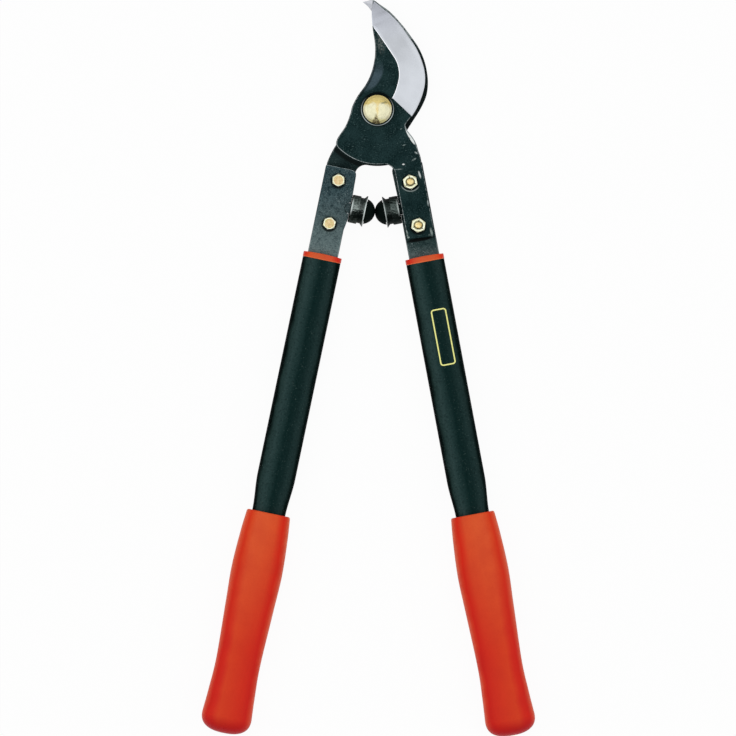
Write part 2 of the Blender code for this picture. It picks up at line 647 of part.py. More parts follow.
def strap(side, line, steel):
    """A flat bar with a lobe for the bumper, its lower end inside the tube."""
    name = f"{NAMES[side]}_strap"
    top = STRAP_TOP - (RIGHT_STRAP_RISE if side == RIGHT else 0.0)
    foot = COLLAR_START + STRAP_GRIPPED
    seat = -(bumper_seat(side) - SEAT_GAP)
    half = STRAP_HALF_WIDTH
    corners = [(half, (top + foot) / 2, 0), (half, top, STRAP_CORNER),
               (-half - STRAP_SHOULDER, top, STRAP_INNER_CORNER),
               (seat, BUMPER_STATION - LOBE_HALF_LENGTH, LOBE_FILLET),
               (seat, BUMPER_STATION + LOBE_HALF_LENGTH, LOBE_LOWER_FILLET),
               (-half, BUMPER_STATION + LOBE_FOOT, LOBE_FILLET),
               (-half, foot, STRAP_CORNER), (half, foot, STRAP_CORNER), (half, (top + foot) / 2, 0)]
    outline = [(side * s, -t) for s, t in rounded(corners)[:-1]]
    base = FRONT_BASE if side == LEFT else BACK_STRAP_BASE
    bar = place(name, plate_mesh(name, outline, STRAP_THICK, STRAP_ROUND), steel, line,
                (0, 0, base + STRAP_THICK / 2))
    for row, along in BOLT_STATIONS.items():
        hole = f"{name}_hole_{row}"
        combine(bar, place(hole, cylinder_mesh(hole, BOLT_DIAMETER / 2 + SEAT_GAP, 2 * STRAP_THICK),
                           None, line, (0, -along, base + STRAP_THICK / 2)))
    slot = name + "_slot"
    combine(bar, place(slot, cylinder_mesh(slot, STUD_HEAD_RADIUS + SEAT_GAP, 2 * STRAP_THICK), None,
                       line, (side * seat, -BUMPER_STATION, base + STRAP_THICK / 2)))


# Bumpers

def bumper_level(side):
    """A bumper's axis runs in the middle of its strap's thickness."""
    return (FRONT_BASE if side == LEFT else BACK_STRAP_BASE) + STRAP_THICK / 2


def nose_ball():
    """Radius of the nose's ball, and how far its centre lies behind the lip."""
    radius = (NOSE_MOUTH_RADIUS ** 2 + NOSE_LENGTH ** 2) / (2 * NOSE_LENGTH)
    return radius, radius - NOSE_LENGTH


def bumper_seat(side):
    """How far in from the handle's line a cup sits, so that the two noses just meet."""
    radius, behind = nose_ball()
    climb = bumper_level(LEFT) - bumper_level(RIGHT)
    half = math.sqrt((2 * radius + SEAT_GAP) ** 2 - climb ** 2) / 2
    centre_x = BUMPER_MEETING_X + side * half
    reach = (side * centre_x - BUMPER_STATION * math.sin(SPLAY)) / math.cos(SPLAY)
    return OFFSETS[side] - reach - CUP_LENGTH + behind


def bumper(side, line, black, rubber, steel):
    """A stud set in the strap's edge, a cup on it, and a rubber nose screwed on the stud."""
    name = NAMES[side]
    seat = bumper_seat(side)
    where = {"parent": line, "location": (-side * seat, -BUMPER_STATION, bumper_level(side)),
             "rotation": (0, -side * math.pi / 2, 0)}
    bore = STUD_DIAMETER / 2 + SEAT_GAP
    mouth = CUP_LENGTH
    round_steps = np.linspace(0, math.pi / 2, 5)
    corner = [(CUP_RADIUS - CUP_EDGE_ROUND + CUP_EDGE_ROUND * math.cos(a),
               CUP_EDGE_ROUND - CUP_EDGE_ROUND * math.sin(a)) for a in round_steps]
    cup = [(CUP_BORE, mouth), (LIP_RADIUS - LIP_EDGE, mouth), (LIP_RADIUS, mouth - LIP_EDGE),
           (NECK_RADIUS, mouth - LIP_FLARE), (NECK_RADIUS, CUP_BODY_LENGTH + LIP_EDGE),
           (CUP_RADIUS, CUP_BODY_LENGTH)] + corner + [(bore, 0), (bore, CUP_FLOOR), (CUP_BORE, CUP_FLOOR)]
    turned_object(f"{name}_bumper_cup", cup, black, 24, True, **where)

    radius, behind = nose_ball()
    start = math.acos(behind / radius)
    shoulder = mouth + SEAT_GAP
    dome = [(radius * math.sin(a), mouth - behind + radius * math.cos(a))
            for a in np.linspace(0, start, 7)[:-1]]
    plug = CUP_BORE - SEAT_GAP
    foot = CUP_FLOOR + SEAT_GAP
    pocket = foot + STUD_INTO_NOSE + SEAT_GAP
    nose = dome + [(NOSE_MOUTH_RADIUS, shoulder), (plug, shoulder), (plug, foot), (bore, foot),
                   (bore, pocket), (0, pocket)]
    turned_object(f"{name}_bumper_nose", nose, rubber, 24, **where)

    stud_name = f"{name}_bumper_stud"
    disc = cylinder_mesh(stud_name, STUD_HEAD_RADIUS, STRAP_THICK - 2 * STRAP_ROUND)
    stud = place(stud_name, disc, steel, line,
                 (-side * (seat - SEAT_GAP), -BUMPER_STATION, bumper_level(side)))
    trim = stud_name + "_trim"
    size = 4 * STUD_HEAD_RADIUS
    combine(stud, place(trim, box_mesh(trim, size, size, size), None, line,
                        (-side * (seat - SEAT_GAP + size / 2), -BUMPER_STATION, bumper_level(side))))
    length = foot + STUD_INTO_NOSE
    shank = turned_object(stud_name + "_shank", [(0, length), (STUD_DIAMETER / 2, length),
                                                 (STUD_DIAMETER / 2, -STUD_ROOT),
                                                 (0, -STUD_ROOT)], steps=14, **where)
    combine(stud, shank, "UNION")


def box_mesh(name, x, y, z):
    """A box with its middle at the origin."""
    mesh = bpy.data.meshes.new(name)
    shape = bmesh.new()
    bmesh.ops.create_cube(shape, size=1.0, matrix=Matrix.Diagonal((x, y, z, 1)))
    shape.to_mesh(mesh)
    shape.free()
    return mesh


# Handles

def collar(side, line, plastic):
    """A cap on the tube's mouth with a spigot inside the tube and a slot for the strap."""
    name = f"{NAMES[side]}_collar"
    end = COLLAR_START + COLLAR_BAND
    rings = [oval_ring(COLLAR_START - COLLAR_CROWN * math.cos(a),
                       TUBE_WIDTH * math.sin(a), TUBE_DEPTH * math.sin(a), TUBE_SQUARENESS)
             for a in np.linspace(math.pi / 8, math.pi / 2, 4)]
    rings += [oval_ring(end, TUBE_WIDTH, TUBE_DEPTH, TUBE_SQUARENESS),
              oval_ring(end, SPIGOT_WIDTH, SPIGOT_DEPTH, TUBE_SQUARENESS),
              oval_ring(end + COLLAR_SPIGOT, SPIGOT_WIDTH, SPIGOT_DEPTH, TUBE_SQUARENESS)]
    cap = place(name, loft_mesh(name, rings), plastic, line)
    base = FRONT_BASE if side == LEFT else BACK_STRAP_BASE
    slot = name + "_slot"
    length = 2 * (COLLAR_SPIGOT + COLLAR_BAND)
    combine(cap, place(slot, box_mesh(slot, 2 * (STRAP_HALF_WIDTH + SEAT_GAP), 2 * length,
                                      STRAP_THICK + 2 * SEAT_GAP),
                       None, line, (0, -COLLAR_START, base + STRAP_THICK / 2)))


def tube(side, line, paint):
    """A flat-oval tube, necked down before the grip and open at both ends."""
    name = f"{NAMES[side]}_tube"
    start = COLLAR_START + COLLAR_BAND + SEAT_GAP
    rings = [oval_ring(start, TUBE_WIDTH, TUBE_DEPTH, TUBE_SQUARENESS)]
    for u in np.linspace(0, 1, 6):
        ease = u * u * (3 - 2 * u)
        rings.append(oval_ring(GRIP_START - NECKING_LENGTH * (1 - u),
                               TUBE_WIDTH + (NECKED_WIDTH - TUBE_WIDTH) * ease,
                               TUBE_DEPTH + (NECKED_DEPTH - TUBE_DEPTH) * ease, TUBE_SQUARENESS))
    end = GRIP_START + GRIP_LENGTH - GRIP_WALL_END - GRIP_SLIP - SEAT_GAP
    rings.append(oval_ring(end, NECKED_WIDTH, NECKED_DEPTH, TUBE_SQUARENESS))
    pipe = place(name, loft_mesh(name, rings, close_ends=False), paint, line)
    wall = pipe.modifiers.new("wall", "SOLIDIFY")
    wall.thickness = TUBE_WALL
    wall.offset = -1


def grip(side, line, rubber):
    """A slip-on grip: swell, waist and flared butt outside, the tube's oval bore inside."""
    name = f"{NAMES[side]}_grip"
    mouth = GRIP_START - side * GRIP_SLIP
    bore = (NECKED_WIDTH + 2 * SEAT_GAP, NECKED_DEPTH + 2 * SEAT_GAP)
    blind = mouth + GRIP_LENGTH - GRIP_WALL_END
    r = GRIP_MOUTH_ROUND
    width, depth = GRIP_MOUTH[1:]
    rings = [oval_ring(t, *bore, TUBE_SQUARENESS) for t in (blind, mouth + GRIP_BORE_CHAMFER)]
    rings.append(oval_ring(mouth, bore[0] + 2 * GRIP_BORE_CHAMFER, bore[1] + 2 * GRIP_BORE_CHAMFER,
                           TUBE_SQUARENESS))
    for a in np.linspace(0, math.pi / 2, 4)[:-1]:
        inset = 2 * r * (1 - math.sin(a))
        rings.append(oval_ring(mouth + r * (1 - math.cos(a)), width - inset, depth - inset,
                               GRIP_SQUARENESS))
    stations = [GRIP_MOUTH, GRIP_SHOULDER, GRIP_SWELL, GRIP_PALM, GRIP_WAIST, GRIP_FLARE, GRIP_BUTT]
    skin = np.array(smooth_through(stations, 3))
    for t, w, d in skin:
        lean = -side * GRIP_DRIFT * min(1.0, t / GRIP_WAIST[0])
        rings.append(oval_ring(mouth + max(t, r), w, d, GRIP_SQUARENESS, lean))
    butt = GRIP_BUTT[0]
    length = GRIP_LENGTH - butt
    for u in BUTT_STATIONS:
        share = (1 - u ** BUTT_FULLNESS) ** (1 / BUTT_FULLNESS)
        rings.append(oval_ring(mouth + butt + length * u, GRIP_BUTT[1] * share,
                               GRIP_BUTT[2] * share, GRIP_SQUARENESS, -side * GRIP_DRIFT))
    place(name, loft_mesh(name, rings), rubber, line)


def build():
    forged = finish("forged_black", 30, 46, 48, 0.6, 0.45)
    steel = finish("strap_steel", 66, 80, 86, 0.6, 0.5)
    brass = finish("pivot_brass", 226, 205, 120, 1.0, 0.25)
    zinc = finish("yellow_zinc", 214, 200, 140, 1.0, 0.35)
    washer = finish("washer_black", 22, 26, 28, 0.6, 0.35)
    cup = finish("cup_black", 20, 24, 26, 0.3, 0.3)
    rubber = finish("nose_rubber", 10, 14, 14, 0.0, 0.7)
    paint = finish("tube_black", 35, 50, 52, 0.2, 0.45)
    plastic = finish("collar_orange", 222, 74, 32, 0.0, 0.4)
    grip_rubber = finish("grip_orange", 205, 60, 36, 0.0, 0.55)

    pivot = empty("pivot_axis")
    lines = {LEFT: empty("left_handle_line"), RIGHT: empty("right_handle_line", pivot)}
    for side, line in lines.items():
        line.location = (*handle_point(side, 0, 0), 0)
        line.rotation_euler = (0, 0, side * SPLAY)

    cutting_blade(forged, pivot)
    hook_blade(forged)
    pivot_stack(brass, washer, zinc)
    for side, line in lines.items():
        strap(side, line, steel)
        for row in BOLT_STATIONS:
            lap_bolt(side, row, line, zinc)
        bumper(side, line, cup, rubber, steel)
        collar(side, line, plastic)
        tube(side, line, paint)
        grip(side, line, grip_rubber)


for old in list(bpy.data.objects):
    bpy.data.objects.remove(old)
PARTS = collection("lopper")
CUTTERS = collection("cutters")
build()
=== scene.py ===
# %% [markdown]
# # A bypass lopper, dressed
# The real tool is two forged blades that swing past each other on a brass bolt, two flat
# steel straps bolted to them, two oval tubes with rubber grips, and a pair of bumpers that
# stop the handles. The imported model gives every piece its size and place. This script
# makes the finer surfaces over it, with the finish of each metal, paint and rubber.

# %% Load the frame
import json
import math

import bmesh
import bpy
import numpy as np
from mathutils import Matrix, Vector


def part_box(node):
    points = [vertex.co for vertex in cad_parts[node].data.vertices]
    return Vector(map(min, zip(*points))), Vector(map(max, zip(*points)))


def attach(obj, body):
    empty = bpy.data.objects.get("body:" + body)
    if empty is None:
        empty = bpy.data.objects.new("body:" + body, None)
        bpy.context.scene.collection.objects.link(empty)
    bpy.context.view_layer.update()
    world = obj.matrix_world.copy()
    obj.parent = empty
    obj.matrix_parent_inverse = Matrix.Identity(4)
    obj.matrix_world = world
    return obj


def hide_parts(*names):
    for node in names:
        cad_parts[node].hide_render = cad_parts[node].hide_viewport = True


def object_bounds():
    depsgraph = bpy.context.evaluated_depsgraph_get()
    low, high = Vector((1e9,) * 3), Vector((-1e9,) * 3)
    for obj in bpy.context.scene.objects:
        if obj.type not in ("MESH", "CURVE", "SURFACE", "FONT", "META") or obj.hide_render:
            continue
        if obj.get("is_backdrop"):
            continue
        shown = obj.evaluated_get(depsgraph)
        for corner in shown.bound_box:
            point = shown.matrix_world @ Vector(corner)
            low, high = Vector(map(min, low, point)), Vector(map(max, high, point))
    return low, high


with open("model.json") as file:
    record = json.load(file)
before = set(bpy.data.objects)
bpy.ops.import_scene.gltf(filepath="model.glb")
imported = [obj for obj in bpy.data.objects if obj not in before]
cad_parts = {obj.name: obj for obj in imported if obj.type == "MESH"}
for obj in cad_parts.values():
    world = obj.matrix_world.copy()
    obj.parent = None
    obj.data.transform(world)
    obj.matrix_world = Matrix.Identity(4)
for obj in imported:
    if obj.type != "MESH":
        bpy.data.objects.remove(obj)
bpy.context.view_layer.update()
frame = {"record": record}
BODIES = frame["record"]["behaviour"]["bodies"]

# %% [markdown]
# ## Camera
# The photograph looks straight down on the tool through a long lens, so an orthographic
# camera is closest. The tool lies turned by about half a degree in the picture.

# %% Camera
VIEW_CENTRE = (-0.00545, -0.21125, 1.0)
VIEW_WIDTH = 0.6008
VIEW_TURN = math.radians(0.62)


def in_scene(name, data):
    """An object of that name in the scene, made from a mesh, a lamp or a camera."""
    made = bpy.data.objects.new(name, data)
    bpy.context.scene.collection.objects.link(made)
    return made


camera = in_scene("camera", bpy.data.cameras.new("camera"))
camera.data.type = "ORTHO"
camera.data.ortho_scale = VIEW_WIDTH
camera.matrix_world = Matrix.Translation(VIEW_CENTRE) @ Matrix.Rotation(VIEW_TURN, 4, "Z")
bpy.context.scene.camera = camera
bpy.context.scene.view_settings.view_transform = "Standard"


# %% [markdown]
# ## Node shorthand
# A material is a small tree of nodes. These helpers keep each tree to a few readable
# lines: one makes a node and joins its inputs, a family of them does sums, one blends two
# colours, and one writes a colour ramp. A node finds its tree through a socket it reads.

# %% Node shorthand
SOCKET = bpy.types.NodeSocket


def linear(colour):
    """Three screen values, 0 to 255, as Blender's linear colour. Sockets and linear colours stay."""
    if isinstance(colour, SOCKET) or len(colour) == 4:
        return colour
    return (*[c / 255 / 12.92 if c < 10.3 else ((c / 255 + 0.055) / 1.055) ** 2.4 for c in colour], 1.0)


def plug(entry, value):
    """Join a socket to a node's input, or set the input to a value."""
    if isinstance(value, SOCKET):
        entry.id_data.links.new(value, entry)
    else:
        entry.default_value = value


def node(where, kind, values=None, **settings):
    """A node in the tree that `where` belongs to, with its settings and its inputs."""
    made = where.id_data.nodes.new(kind)
    for key, value in settings.items():
        setattr(made, key, value)
    for key, value in (values or {}).items():
        plug(made.inputs[key], value)
    return made


def sums(operation):
    """A function that does one kind of sum on sockets and numbers."""
    def result(a, b=0.0, clamp=False):
        where = a if isinstance(a, SOCKET) else b
        return node(where, "ShaderNodeMath", {0: a, 1: b}, operation=operation, use_clamp=clamp).outputs[0]
    return result


plus, minus, times, root = map(sums, ("ADD", "SUBTRACT", "MULTIPLY", "SQRT"))
least, most, absolute, above = map(sums, ("MINIMUM", "MAXIMUM", "ABSOLUTE", "GREATER_THAN"))


def mix(factor, a, b):
    """Colour a where the factor is 0, colour b where it is 1."""
    return node(factor, "ShaderNodeMix", {0: factor, 6: linear(a), 7: linear(b)}, data_type="RGBA").outputs[2]


def stretch(value, low, high, to_low=0.0, to_high=1.0):
    """The value's range low to high, stretched to another and held inside it."""
    return node(value, "ShaderNodeMapRange", {0: value, 1: low, 2: high, 3: to_low, 4: to_high}).outputs[0]


def grain(where, size, detail=3.0, scale=(1, 1, 1), roughness=0.5):
    """Cloudy noise, 0 to 1, whose blotches are about size metres across."""
    spread = node(where, "ShaderNodeMapping", {"Vector": where, "Scale": scale}).outputs[0]
    return node(where, "ShaderNodeTexNoise", {"Vector": spread, "Scale": 1 / size, "Detail": detail,
                                              "Roughness": roughness}).outputs[0]


def marked(place, key):
    """The value of a named mark that the mesh carries at each point."""
    return node(place, "ShaderNodeAttribute", attribute_name=key).outputs["Fac"]


def parts(vector):
    """Its three numbers."""
    return node(vector, "ShaderNodeSeparateXYZ", {0: vector}).outputs


def length(vector):
    return node(vector, "ShaderNodeVectorMath", {0: vector}, operation="LENGTH").outputs["Value"]


def seen_from(place, x, y, half_length=1.0, half_width=1.0, turn=0.0):
    """Coordinates from a centre on the top face, in half lengths and half widths (mm, degrees)."""
    return node(place, "ShaderNodeMapping", {
        "Vector": place, "Location": (x / 1000, y / 1000, 0), "Rotation": (0, 0, math.radians(turn)),
        "Scale": (half_length / 1000, half_width / 1000, 1.0)}, vector_type="TEXTURE").outputs[0]


def patch(place, x, y, half_length, half_width, turn=0.0, soft=0.5):
    """1 inside an ellipse on the top face, fading to 0 at its edge."""
    return stretch(length(seen_from(place, x, y, half_length, half_width, turn)), 1.0, soft)


def colour_ramp(value, stops):
    """Colours at places from 0 to 1, blended between."""
    ramp = node(value, "ShaderNodeValToRGB", {0: value})
    points = ramp.color_ramp.elements
    while len(points) < len(stops):
        points.new(0.5)
    for point, (at, colour) in zip(points, stops):
        point.position = at
        point.color = linear(colour)
    return ramp.outputs[0]


def surface_finish(name, metallic=0.0, specular=0.5):
    """A new material, and the socket of Object coordinates in its tree."""
    made = bpy.data.materials.new(name)
    made.use_nodes = True
    shader = made.node_tree.nodes["Principled BSDF"]
    shader.inputs["Metallic"].default_value = metallic
    shader.inputs["Specular IOR Level"].default_value = specular
    return made, node(made.node_tree, "ShaderNodeTexCoord").outputs["Object"]


def finished(made, colour, roughness, height, depth, strength=0.5, **others):
    """The material with its colour, its roughness and bumps of the given depth in metres."""
    inputs = made.node_tree.nodes["Principled BSDF"].inputs
    bump = node(height, "ShaderNodeBump", {"Height": height, "Distance": depth, "Strength": strength})
    others.update({"Base Color": colour, "Roughness": roughness, "Normal": bump.outputs[0]})
    for key, value in others.items():
        plug(inputs[key], value)
    return made


# %% [markdown]
# ## Light and floor
# A soft studio: a pale dome all round, darker towards the head and foot of the table, so
# that the round brass head shows its bow tie of pale and dark, with two wide lamps above.
# The dome is plain white to the camera. The floor is white to the camera and to
# reflections, and keeps a faint shadow under the tool.

# %% Light
DOME_STOPS = ((0.00, 0.03), (0.22, 0.10), (0.36, 0.62), (0.50, 0.74), (0.62, 0.58), (0.80, 0.42), (1.00, 0.26))
DOME_DIFFUSE = 0.46
LAMPS = (("key_lamp", (-0.7, -0.1, 1.3), 8.0), ("fill_lamp", (0.8, -0.3, 1.2), 6.0))
LAMP_SIZE = 1.8
LAMP_AIM = Vector((0.0, -0.2, 0.0))


def grey(level):
    return level, level, level, 1.0


def rays(tree):
    """What kind of ray asks: 1 for the camera's, and 1 for a reflected or refracted one."""
    path = node(tree, "ShaderNodeLightPath").outputs
    return path["Is Camera Ray"], most(path["Is Glossy Ray"], path["Is Transmission Ray"])


def light_dome():
    """World light by direction: a ramp from foot to head, white where the camera sees it."""
    world = bpy.data.worlds.new("studio")
    bpy.context.scene.world = world
    world.use_nodes = True
    tree = world.node_tree
    towards_head = parts(node(tree, "ShaderNodeTexCoord").outputs["Generated"])[1]
    dome = colour_ramp(stretch(towards_head, -1.0, 1.0), [(at, grey(level)) for at, level in DOME_STOPS])
    direct, mirrored = rays(tree)
    lit = mix(mirrored, grey(DOME_DIFFUSE), dome)
    plug(tree.nodes["Background"].inputs["Color"], mix(direct, lit, grey(1)))


light_dome()
for lamp_name, lamp_place, power in LAMPS:
    light = bpy.data.lights.new(lamp_name, "AREA")
    light.size = LAMP_SIZE
    light.energy = power
    lamp = in_scene(lamp_name, light)
    lamp.location = lamp_place
    lamp.rotation_euler = (LAMP_AIM - Vector(lamp_place)).to_track_quat("-Z", "Y").to_euler()

# %% Floor
FLOOR_HALF = 4.0
FLOOR_SHADOW = 0.05


def floor():
    """A white table top that stays white to the camera, apart from a faint shadow."""
    mesh = bpy.data.meshes.new("floor")
    corners = [(x * FLOOR_HALF, y * FLOOR_HALF, 0) for x, y in ((-1, -1), (1, -1), (1, 1), (-1, 1))]
    mesh.from_pydata(corners, [], [(0, 1, 2, 3)])
    paper, _ = surface_finish("floor_paper", specular=0.0)
    tree = paper.node_tree
    shader = tree.nodes["Principled BSDF"]
    shader.inputs["Base Color"].default_value = grey(0.9)
    shader.inputs["Roughness"].default_value = 1.0
    glow = node(tree, "ShaderNodeEmission", {"Color": grey(1), "Strength": 1.0})
    both = node(tree, "ShaderNodeMixShader", {0: times(most(*rays(tree)), 1.0 - FLOOR_SHADOW),
                                              1: shader.outputs[0], 2: glow.outputs[0]})
    plug(tree.nodes["Material Output"].inputs["Surface"], both.outputs[0])
    mesh.materials.append(paper)
    in_scene("floor", mesh)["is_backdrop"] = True


floor()

# %% [markdown]
# ## Surfaces from numbers
# Every new piece is a grid of points: rows run along the piece and columns run round it.
# The grid goes into a mesh in one step. Where a row shrinks to a point or two edges meet,
# the doubled points are merged, so that the skin closes. A texture map in metres and a
# value for each point, which carries wear and painted light and shade, go in with it.

# %% Skin over a grid
MERGE = 2e-6
SMOOTH_ANGLE = 32.0
DRILL_LENGTH = 0.05


def run_length(points, axis=0):
    """Distance travelled along an axis of a grid of points, from 0."""
    steps = np.linalg.norm(np.diff(points, axis=axis), axis=-1)
    first = np.zeros_like(np.take(steps, [0], axis=axis))
    return np.cumsum(np.concatenate([first, steps], axis=axis), axis=axis)


def full_turn(count):
    """Angles at equal steps round a circle."""
    return np.linspace(0, 2 * math.pi, count, endpoint=False)


def skin(name, grid, slots=None, marks=None, sharp=SMOOTH_ANGLE):
    """A closed skin: quads between neighbouring rows and columns, the last column joined to the first."""
    grid = np.asarray(grid, dtype=np.float32)
    rows, columns = grid.shape[:2]
    ring = np.arange(columns + 1) % columns
    index = np.arange(rows)[:, None] * columns + ring
    map_uv = np.stack([run_length(grid[:, ring], 1), run_length(grid[:, ring], 0)], -1)

    def corners(values):
        return np.stack([values[:-1, :-1], values[:-1, 1:], values[1:, 1:], values[1:, :-1]], 2)

    quads = corners(index)
    mesh = bpy.data.meshes.new(name)
    mesh.vertices.add(rows * columns)
    mesh.vertices.foreach_set("co", grid.ravel())
    mesh.loops.add(quads.size)
    mesh.loops.foreach_set("vertex_index", quads.ravel().astype(np.int32))
    mesh.polygons.add(quads.size // 4)
    mesh.polygons.foreach_set("loop_start", np.arange(0, quads.size, 4, dtype=np.int32))
    if slots is not None:
        mesh.polygons.foreach_set("material_index", np.asarray(slots, dtype=np.int32).ravel())
    mesh.uv_layers.new(name="surface").data.foreach_set("uv", corners(map_uv).astype(np.float32).ravel())
    for key, values in (marks or {}).items():
        values = np.broadcast_to(np.asarray(values, np.float32), (rows, columns))
        mesh.attributes.new(key, "FLOAT", "POINT").data.foreach_set("value", values.ravel())
    mesh.update(calc_edges=True)
    close_up(mesh, sharp)
    return mesh


def close_up(mesh, sharp):
    """Merge doubled points, turn faces outward and shade smooth but for the sharp edges."""
    shape = bmesh.new()
    shape.from_mesh(mesh)
    bmesh.ops.remove_doubles(shape, verts=shape.verts, dist=MERGE)
    bmesh.ops.recalc_face_normals(shape, faces=shape.faces)
    open_edges = sum(1 for e in shape.edges if len(e.link_faces) != 2)
    shape.to_mesh(mesh)
    shape.free()
    mesh.shade_smooth()
    mesh.set_sharp_from_angle(angle=math.radians(sharp))
    print(mesh.name, len(mesh.polygons), "faces,", open_edges, "open edges")


def dress(node_name, mesh, finishes):
    """Make the mesh a piece that rides with its node's body and takes the node's place."""
    made = in_scene(mesh.name, mesh)
    for finish in finishes:
        mesh.materials.append(finish)
    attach(made, next(body for body, members in BODIES.items() if node_name in members))
    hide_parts(node_name)


def cut(mesh, *tools):
    """The mesh with solids taken out of it, each a maker of shapes with its settings."""
    made = [in_scene("blank", mesh)]
    for maker, settings in tools:
        shape = bmesh.new()
        maker(shape, **settings)
        solid = bpy.data.meshes.new("tool")
        shape.to_mesh(solid)
        shape.free()
        made.append(in_scene("tool", solid))
        made[0].modifiers.new("cut", "BOOLEAN").object = made[-1]
    bpy.context.view_layer.update()
    result = bpy.data.meshes.new_from_object(made[0].evaluated_get(bpy.context.evaluated_depsgraph_get()))
    result.name = mesh.name
    result.set_sharp_from_angle(angle=math.radians(SMOOTH_ANGLE))
    for unused in made:
        bpy.data.objects.remove(unused)
    return result


def hole(centre, radius):
    """A drill along Z for cut()."""
    return bmesh.ops.create_cone, {"cap_ends": True, "segments": 48, "radius1": radius, "radius2": radius,
                                   "depth": DRILL_LENGTH, "matrix": Matrix.Translation((*centre, MID))}


# %% [markdown]
# ## Lines and corners
# Outlines start as a few chosen points. A smooth line runs through them, a round stretch
# takes the place of each corner, and stations are then spread along the line between
# marked places, so that two sides of a plate can be matched rung by rung.

# %% Lines
FINE_STEPS = 900


def smooth_through(points, steps):
    """Catmull-Rom line through the points: each span is a cubic set by its four neighbours."""
    p = np.array(points, dtype=float)
    p = np.vstack([2 * p[0] - p[1], p, 2 * p[-1] - p[-2]])
    a, b, c, d = (p[i:len(p) - 3 + i, None, :] for i in range(4))
    t = (np.arange(steps) / steps)[None, :, None]
    line = 0.5 * (2 * b + (c - a) * t + (2 * a - 5 * b + 4 * c - d) * t ** 2
                  + (3 * b - a - 3 * c + d) * t ** 3)
    return np.vstack([line.reshape(-1, p.shape[1]), p[-2]])


def arc(centre, radius, start, end, count):
    """Points at equal angles on a circle."""
    a = np.linspace(start, end, count)
    return np.column_stack([centre[0] + radius * np.cos(a), centre[1] + radius * np.sin(a)])


def rounded(corners, count=7):
    """A line of corners (x, y, radius), each inner corner replaced by a tangent curve."""
    line = [np.array([corners[0][:2]], dtype=float)]
    for before, here, after in zip(corners[:-2], corners[1:-1], corners[2:]):
        a, b, c = (np.array(p[:2], dtype=float) for p in (before, here, after))
        u, v = (a - b) / np.linalg.norm(a - b), (c - b) / np.linalg.norm(c - b)
        turn = math.acos(float(np.clip(u @ v, -1, 1)))
        room = 0.45 * min(np.linalg.norm(a - b), np.linalg.norm(c - b))
        reach = min(here[2] / math.tan(turn / 2), room) if turn < 3.1 else 0.0
        t = np.linspace(0, 1, count)[:, None]
        line.append((b + u * reach) * (1 - t) ** 2 + b * 2 * t * (1 - t) + (b + v * reach) * t ** 2)
    return np.vstack(line + [np.array([corners[-1][:2]], dtype=float)])


def steps_between(stops, counts):
    """Even steps from each stop to the next, up to the last stop and without it."""
    return np.concatenate([np.linspace(a, b, n, endpoint=False) for a, b, n in zip(stops, stops[1:], counts)])


def resampled(line, run, along):
    """Points at distances along a line, whose own points lie at the distances in run."""
    return np.column_stack([np.interp(along, run, column) for column in line.T])


def stations(line, marks, counts):
    """Points along a line, evenly spaced between marked places, which the line passes near."""
    run = run_length(line)
    dense = np.union1d(run, np.linspace(0, run[-1], FINE_STEPS))
    line = resampled(line, run, dense)
    stops = [0.0] + [dense[np.argmin(np.hypot(*(line - mark).T))] for mark in marks] + [dense[-1]]
    return resampled(line, dense, np.append(steps_between(stops, counts), dense[-1]))


def scaled(shape, size):
    """Points given in shares of a size."""
    return [np.array(point) * size for point in shape]


def ramp(values, start, width):
    """0 up to the start, then an even rise to 1 over the width."""
    return np.clip((values - start) / width, 0, 1)


def bump(values, centre, width, power=2):
    """1 at the centre, fading to both sides."""
    return np.exp(-((values - centre) / width) ** power)


# %% [markdown]
# ## The tool's layout
# The same driving sizes as the model: the handles' lines, the two layers of plate and the
# places of the bolts and bumpers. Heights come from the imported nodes.

# %% Layout
LEFT, RIGHT = -1, 1
NAMES = {LEFT: "left", RIGHT: "right"}
SPLAY = math.radians(11.22)
OFFSETS = {LEFT: 0.0193, RIGHT: 0.0154}

BLADE_LENGTH = 0.0883
HEEL_RADII = {LEFT: 0.0463, RIGHT: 0.0451}
HUB_RADIUS = 0.0195
LOWER_HUB_RADIUS = 0.0207
CROTCH_FILLET = 0.0088
TANG_LENGTH = 0.1100
TANG_OUTER = 0.0120
TANG_SKEW = 0.0009
TANG_CORNER = 0.0018
TANG_RUN_IN = 0.0045
TANG_INNER = {LEFT: 0.0122, RIGHT: 0.0110}
BOLT_STATIONS = {"upper": 0.0632, "lower": 0.0992}

PIVOT_BORE = 0.0063
BOLT_BORE = 0.0033


def heights(node_name):
    """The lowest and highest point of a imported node."""
    return [corner.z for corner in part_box(node_name)]


FRONT_BASE, FRONT_TOP = heights("cutting_blade")
BACK_BASE, BACK_TOP = heights("hook_blade")
MID = (FRONT_BASE + BACK_TOP) / 2
EDGE_LAND = 0.0004
HOOK_LAND = 0.0015
BROKEN_EDGE = 0.0006


def on_handle(side, outward, along):
    """Points beside a handle's line: out from it, and along it from the pivot."""
    reach = OFFSETS[side] + np.asarray(outward, dtype=float)
    along = np.asarray(along, dtype=float)
    return np.stack(np.broadcast_arrays(
        side * (reach * math.cos(SPLAY) + along * math.sin(SPLAY)),
        reach * math.sin(SPLAY) - along * math.cos(SPLAY)), -1)


def in_handle(side, outward, along, height):
    """The same with a height above the table."""
    flat = on_handle(side, outward, along)
    return np.concatenate([flat, np.broadcast_to(height, flat.shape[:-1])[..., None]], -1)


def handle_frame(side):
    """A frame on the handle's line beside the pivot, whose Y axis runs up that line."""
    return Matrix.Translation((*on_handle(side, 0, 0), 0)) @ Matrix.Rotation(side * SPLAY, 4, "Z")


def on_bolts(side):
    """The two places of the lap joint's bolts."""
    return [tuple(on_handle(side, 0, along)) for along in BOLT_STATIONS.values()]


